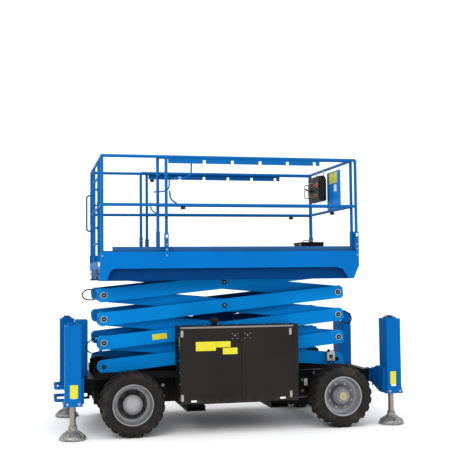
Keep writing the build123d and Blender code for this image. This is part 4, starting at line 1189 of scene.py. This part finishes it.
# Guardrails: bent tube, sprayed blue, with folding middle posts in square sockets
# that lock pins with pull rings hold.
dress(rail_paint, "body_blue", "platform_rails", "entry_gate", "extension_rails")
grab = Shape()
for side in (-1, 1):
    y = side * 0.360
    route = [(-1.395, y, 2.150), (-1.479, y, 2.150), (-1.479, y, 2.560), (-1.395, y, 2.560)]
    grab.tube(route, 0.009, 14, bend=0.042)
    for z in (2.150, 2.560):
        grab.turned(
            [(0.0092, 0.0), (0.018, 0.0), (0.018, 0.004), (0.0092, 0.006)],
            towards((-1.4125, y, z), (-1, 0, 0)), 20, closed=True
        )
grab.piece("grab_handles", "platform", "body_blue", rail_paint)
locks = Shape()
for side in (-1, 1):
    for x, z in ((-0.730, 2.034), (1.359, 2.050)):
        # A pin's pull ring, and the bright catch plate round its outer end.
        inner = side * 0.7455
        ring_points = [
            (
                x + 0.016 * math.sin(2 * math.pi * t / 12), inner,
                z - 0.014 + 0.016 * math.cos(2 * math.pi * t / 12)
            ) for t in range(13)
        ]
        locks.tube(ring_points, 0.0018, 8, finish=1)
        low, high = sorted((side * 0.7998, side * 0.8016))
        locks.block((x - 0.011, low, z - 0.010), (x + 0.011, high, z + 0.024), 0.0005, finish=0)
    for x, z in ((-0.730, 2.235), (-0.810 if side < 0 else -0.730, 2.655)):
        # Turned black knobs on the folding posts.
        out = towards((x, side * 0.7905, z), (0, side, 0))
        locks.turned(
            [
                (0, 0.0085), (0.010, 0.008), (0.013, 0.005), (0.011, 0.001), (0.006, -0.001),
                (0.006, -0.004)
            ],
            out, 20, finish=2
        )
    # The fold lever over the top rail: a bent tube with a grip.
    y = side * 0.748
    locks.tube(
        [(-0.455, y, 2.845), (-0.460, y, 2.690), (-0.530, y, 2.655), (-0.650, y, 2.650)], 0.0085,
        12, finish=3, bend=0.06
    )
    locks.tube(
        [(-0.690, y, 2.520), (-0.682, y, 2.430), (-0.615, y, 2.385)], 0.0085, 12, finish=3,
        bend=0.05
    )
    locks.block(
        (-0.485, min(y, side * 0.770), 2.820), (-0.425, max(y, side * 0.770), 2.860), 0.002,
        finish=3
    )
catch = Finish("catch_plate", metallic=0.6, specular=0.5, roughness=0.3)
catch.mottle((0.62, 0.62, 0.60), (0.75, 0.75, 0.73), catch.noise(90))


def rail_clamp(shape, x, y, z):
    """A black moulded clamp that hangs under a rail, with its bright screw and thumb knob."""
    shape.block(
        (x - 0.022, y - 0.020, z - 0.034), (x + 0.022, y + 0.020, z - 0.004), 0.004, finish=2
    )
    shape.turned(
        [(0, 0.016), (0.012, 0.015), (0.015, 0.010), (0.013, 0.002), (0.006, 0)],
        towards((x, y - 0.018, z - 0.020), (0, -1, 0)), 18, finish=2
    )
    shape.turned(
        [(0, 0.014), (0.005, 0.014), (0.005, 0)], towards((x + 0.020, y, z - 0.022), (1, 0, 0)), 12,
        finish=1
    )


for x, y in ((-0.554, -0.775), (1.096, 0.775)):
    rail_clamp(locks, x, y, 2.357)
rail_clamp(locks, -0.665, 0.775, 2.808)
locks.piece("post_locks", "platform", "bare_steel", catch, plated, plastic, rail_paint)
post_face = 0.8002
post_bolts = []
for side in (-1, 1):
    for x in (-0.730, 1.359):
        for z in (1.905, 1.955):
            post_bolts.append(((x, side * post_face, z), (0, side, 0)))
    for x in (-1.395, -0.730, 1.361):
        post_bolts.append(((x, side * post_face, 1.84), (0, side, 0)))
bolt_set("post_bolts", "platform", post_bolts, 0.006, 0.004, 0.009)

# Entry gate: welded tube on two knuckle hinges, shut by a coil spring and a latch.
gate = Shape()
hinge_x, hinge_y, spring_radius = -1.395, -0.340, 0.0125
for z in (2.080, 2.600):
    spring = []
    for n in range(97):
        turn = 2 * math.pi * n / 12
        out, aside = spring_radius * math.cos(turn), spring_radius * math.sin(turn)
        spring.append((hinge_x + out, hinge_y + aside, z - 0.05 + n * 0.001))
    gate.tube(spring, 0.0016, 6, finish=0)
gate.block((-1.412, -0.316, 2.310), (-1.376, -0.286, 2.430), 0.003, finish=1)
gate.block((-1.409, -0.334, 2.360), (-1.400, -0.312, 2.378), 0.0015, finish=0)
gate.turned(
    [(0, 0.026), (0.010, 0.025), (0.012, 0.020), (0.006, 0.008), (0.006, 0)],
    towards((-1.412, -0.301, 2.395), (-1, 0, 0)), 20, finish=1
)
gate.piece("gate_latch", "entry_gate", "bare_steel", plated, plastic)

# Extension deck: chequered plate on nylon runners between low kick boards, with a
# foot latch at the rear and its own guardrails.
deck_grey = coated(
    "deck_paint", (0.012, 0.10, 0.28), (0.020, 0.09, 0.22), (0.30, 0.33, 0.36), dust=0.30,
    low=(-1, 0), gloss=0.42
)
dress(deck_grey, "body_blue", "extension_deck")
bars = Recipe(
    "chequer_bars", {"Length": "Float", "Width": "Float", "Height": "Float", "Finish": "Material"}
)
size = bars.node(
    "ShaderNodeCombineXYZ", None,
    {"X": bars.given["Length"], "Y": bars.given["Width"], "Z": bars.given["Height"]}
)
bar = bars.node("GeometryNodeMeshIcoSphere", None, {"Radius": 0.5, "Subdivisions": 1})
bar = bars.node("GeometryNodeTransform", None, {"Geometry": bar, "Scale": size})
index = bars.node("GeometryNodeInputIndex")
parity = bars.node("ShaderNodeMath", {"operation": "MODULO"}, {0: index, 1: 2.0})
turned = bars.node(
    "ShaderNodeMath", {"operation": "MULTIPLY_ADD"}, {0: parity, 1: math.pi / 2, 2: math.pi / 4}
)
turned = bars.node("ShaderNodeCombineXYZ", None, {"Z": turned})
bars.scatter(bars.given["Geometry"], bar, Rotation=turned)
# The pattern leaves the power unit's place free and ends at the deck's front edge.
bar_places = []
deck_top, deck_front, step_x, step_y = 1.8018, 1.325, 0.0425, 0.0420
for i in range(61):
    for j in range(35):
        x, y = -1.265 + i * step_x, -0.7140 + j * step_y
        if not (x > 1.02 and 0.13 < y < 0.46) and x < deck_front:
            bar_places.append((x, y, deck_top))
sizes = {"Length": 0.030, "Width": 0.008, "Height": 0.0032, "Finish": deck_grey.material}
chequer = bars.make("deck_chequer_bars", point_cloud("chequer_places", bar_places), sizes)
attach(chequer, "extension")
latch = Shape()
latch.tube(
    [(-1.255, -0.10, 1.806), (-1.255, -0.10, 1.860), (-1.255, 0.10, 1.860), (-1.255, 0.10, 1.806)],
    0.009, 14, bend=0.03
)
latch.tube([(-1.255, -0.055, 1.860), (-1.255, 0.055, 1.860)], 0.0125, 16, finish=1)
for y in (-0.10, 0.10):
    latch.block((-1.275, y - 0.018, 1.8020), (-1.235, y + 0.018, 1.8085), 0.001)
latch.piece("extension_foot_latch", "extension", "body_blue", rail_paint, rubber)
sleeves = Shape()
for side in (-1, 1):
    y = side * 0.7138
    for x in (-0.810, 1.331):
        sleeves.block((x - 0.0188, y - 0.0188, 1.9355), (x + 0.0188, y + 0.0188, 2.095), 0.003)
        sleeves.tube(
            [(x, y - side * 0.018, 2.055), (x, y - side * 0.034, 2.055)], 0.006, 12, finish=1
        )
rail_clamp(sleeves, 1.331, -0.095, 2.357)
sleeves.piece("extension_post_sleeves", "extension", "body_blue", rail_paint, plated, plastic)
clamps = []
for side in (-1, 1):
    for x in (-0.80, -0.20, 0.40, 1.00, 1.30):
        clamps.append(((x, side * 0.7302, 1.870), (0, -side, 0)))
bolt_set("kick_board_bolts", "extension", clamps, 0.006, 0.005, 0.010)

# Platform controls: a moulded case hooked on the front rail, with a joystick under
# a guard, rocker switches and a stop button. A blank document plate hangs beside it.
case = Shape()
outline = [
    (0.0, 2.500), (0.078, 2.500), (0.090, 2.530), (0.090, 2.800), (0.020, 2.800), (0.0, 2.760)
]
standing = Matrix(((-1, 0, 0, 1.315), (0, 0, 1, 0.040), (0, 1, 0, 0), (0, 0, 0, 1)))
case.prism(outline, 0.420, standing, edge=0.008)
case.block((1.2215, 0.065, 2.530), (1.2262, 0.435, 2.735), 0.002, finish=0)
face, panel_x = (-1, 0, 0), 1.2218
for y in (0.110, 0.160, 0.210):
    case.block((1.2175, y - 0.016, 2.555), (1.2222, y + 0.016, 2.585), 0.0015, finish=3)
    case.block((1.2145, y - 0.010, 2.560), (1.2185, y + 0.010, 2.580), 0.0015, finish=0)
case.turned(
    [(0, 0.024), (0.018, 0.022), (0.021, 0.016), (0.019, 0.012), (0.010, 0.010), (0.010, 0)],
    towards((panel_x, 0.115, 2.690), face), 28, finish=2
)
case.turned(
    [(0.012, 0.0), (0.027, 0.0), (0.027, 0.002), (0.012, 0.002)],
    towards((1.2216, 0.115, 2.690), face), 28, finish=4, closed=True
)
bellows = [
    (0.030, 0.0), (0.027, 0.006), (0.029, 0.008), (0.022, 0.014), (0.024, 0.016), (0.016, 0.022),
    (0.0, 0.024)
]
case.turned(bellows, towards((panel_x, 0.330, 2.640), face), 28, finish=0)
case.tube(
    [(1.200, 0.330, 2.640), (1.170, 0.330, 2.648), (1.150, 0.330, 2.662)], 0.0095, 16, finish=0
)
case.tube([(1.152, 0.330, 2.660), (1.146, 0.330, 2.664)], 0.0125, 16, finish=3)
for y in (0.255, 0.410):
    guard = [(1.222, y, 2.560), (1.160, y, 2.560), (1.160, y, 2.720), (1.222, y, 2.720)]
    case.tube(guard, 0.006, 12, finish=1, bend=0.025)
for y in (0.175, 0.205, 0.235):
    case.turned(
        [(0, 0.004), (0.005, 0.003), (0.006, 0)], towards((panel_x, y, 2.700), face), 16, finish=3
    )
for y in (0.135, 0.375):
    case.block((1.309, y - 0.015, 2.780), (1.3142, y + 0.015, 2.8885), 0.001, finish=1)
case.block((1.2600, 0.150, 2.7990), (1.2950, 0.350, 2.8050), 0.002, finish=0)
control_case = case.piece(
    "control_case", "extension", "black_plastic", plastic, plated, red, amber, blank_yellow
)
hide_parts("platform_control_box")

plate_paint = coated(
    "document_plate_paint", (0.0010, 0.20, 0.56), (0.0020, 0.18, 0.50), (0.2, 0.4, 0.6),
    low=(-1, 0), specular=0.15, gloss=0.35
)
dress(plate_paint, "body_blue", "document_plate")
papers = Shape()
for y0, y1, z0, z1, kind in (
    (-0.240, -0.118, 2.690, 2.815, 0),
    (-0.104, 0.030, 2.690, 2.815, 0),
    (-0.215, -0.130, 2.590, 2.672, 1),
):
    papers.block((1.3458, y0, z0), (1.3468, y1, z1), 0.0004, finish=kind)
papers.tube(
    [
        (1.3455, -0.335, 2.400), (1.3455, -0.335, 2.825), (1.3455, 0.095, 2.825),
        (1.3455, 0.095, 2.400)
    ],
    0.003, 8, finish=2, bend=0.02
)
for y in (-0.26, 0.02):
    papers.block((1.3435, y - 0.018, 2.400), (1.3470, y + 0.018, 2.450), 0.001, finish=2)
papers.piece(
    "document_plate_panels", "extension", "rail_steel", blank_yellow, blank_white, plate_paint
)

# Deck power unit: a vented steel case bolted to the extension floor at the front.
dress(black_paint, "black_plastic", "deck_power_unit")
vents = Recipe(
    "vent_slats", {"Length": "Float", "Width": "Float", "Height": "Float", "Finish": "Material"}
)
size = vents.node(
    "ShaderNodeCombineXYZ", None,
    {"X": vents.given["Width"], "Y": vents.given["Length"], "Z": vents.given["Height"]}
)
slat = vents.node("GeometryNodeMeshCube", None, {"Size": size})
slat = vents.node("GeometryNodeTransform", None, {"Geometry": slat, "Rotation": (0.0, 0.5, 0.0)})
vents.scatter(vents.given["Geometry"], slat)
vent_places = [(1.0285, 0.295, 1.850 + n * 0.016) for n in range(8)]
sizes = {"Length": 0.24, "Width": 0.010, "Height": 0.0018, "Finish": black_paint.material}
slats = vents.make("power_unit_slats", point_cloud("vent_places", vent_places), sizes)
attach(slats, "extension")
unit = Shape()
unit.block((1.024, 0.134, 1.985), (1.304, 0.456, 2.014), 0.004, finish=0)
unit.tube(
    [(1.10, 0.295, 2.012), (1.10, 0.295, 2.038), (1.22, 0.295, 2.038), (1.22, 0.295, 2.012)], 0.006,
    12, finish=1, bend=0.018
)
for y in (0.18, 0.41):
    unit.block((1.0225, y - 0.014, 1.970), (1.030, y + 0.014, 1.998), 0.001, finish=1)
unit.turned(
    [(0, 0.016), (0.016, 0.016), (0.018, 0.012), (0.018, 0)],
    towards((1.12, 0.1395, 1.90), (0, -1, 0)), 20, finish=2
)
unit.turned(
    [(0, 0.004), (0.008, 0.004), (0.009, 0)], towards((1.20, 0.1395, 1.90), (0, -1, 0)), 20,
    finish=1
)
unit.piece("power_unit_lid", "extension", "black_plastic", black_paint, plated, plastic)
foot_bolts = [((x, y, 1.8022), (0, 0, 1)) for x in (1.012, 1.318) for y in (0.18, 0.41)]
bolt_set("power_unit_bolts", "extension", foot_bolts, 0.007, 0.005, 0.011)
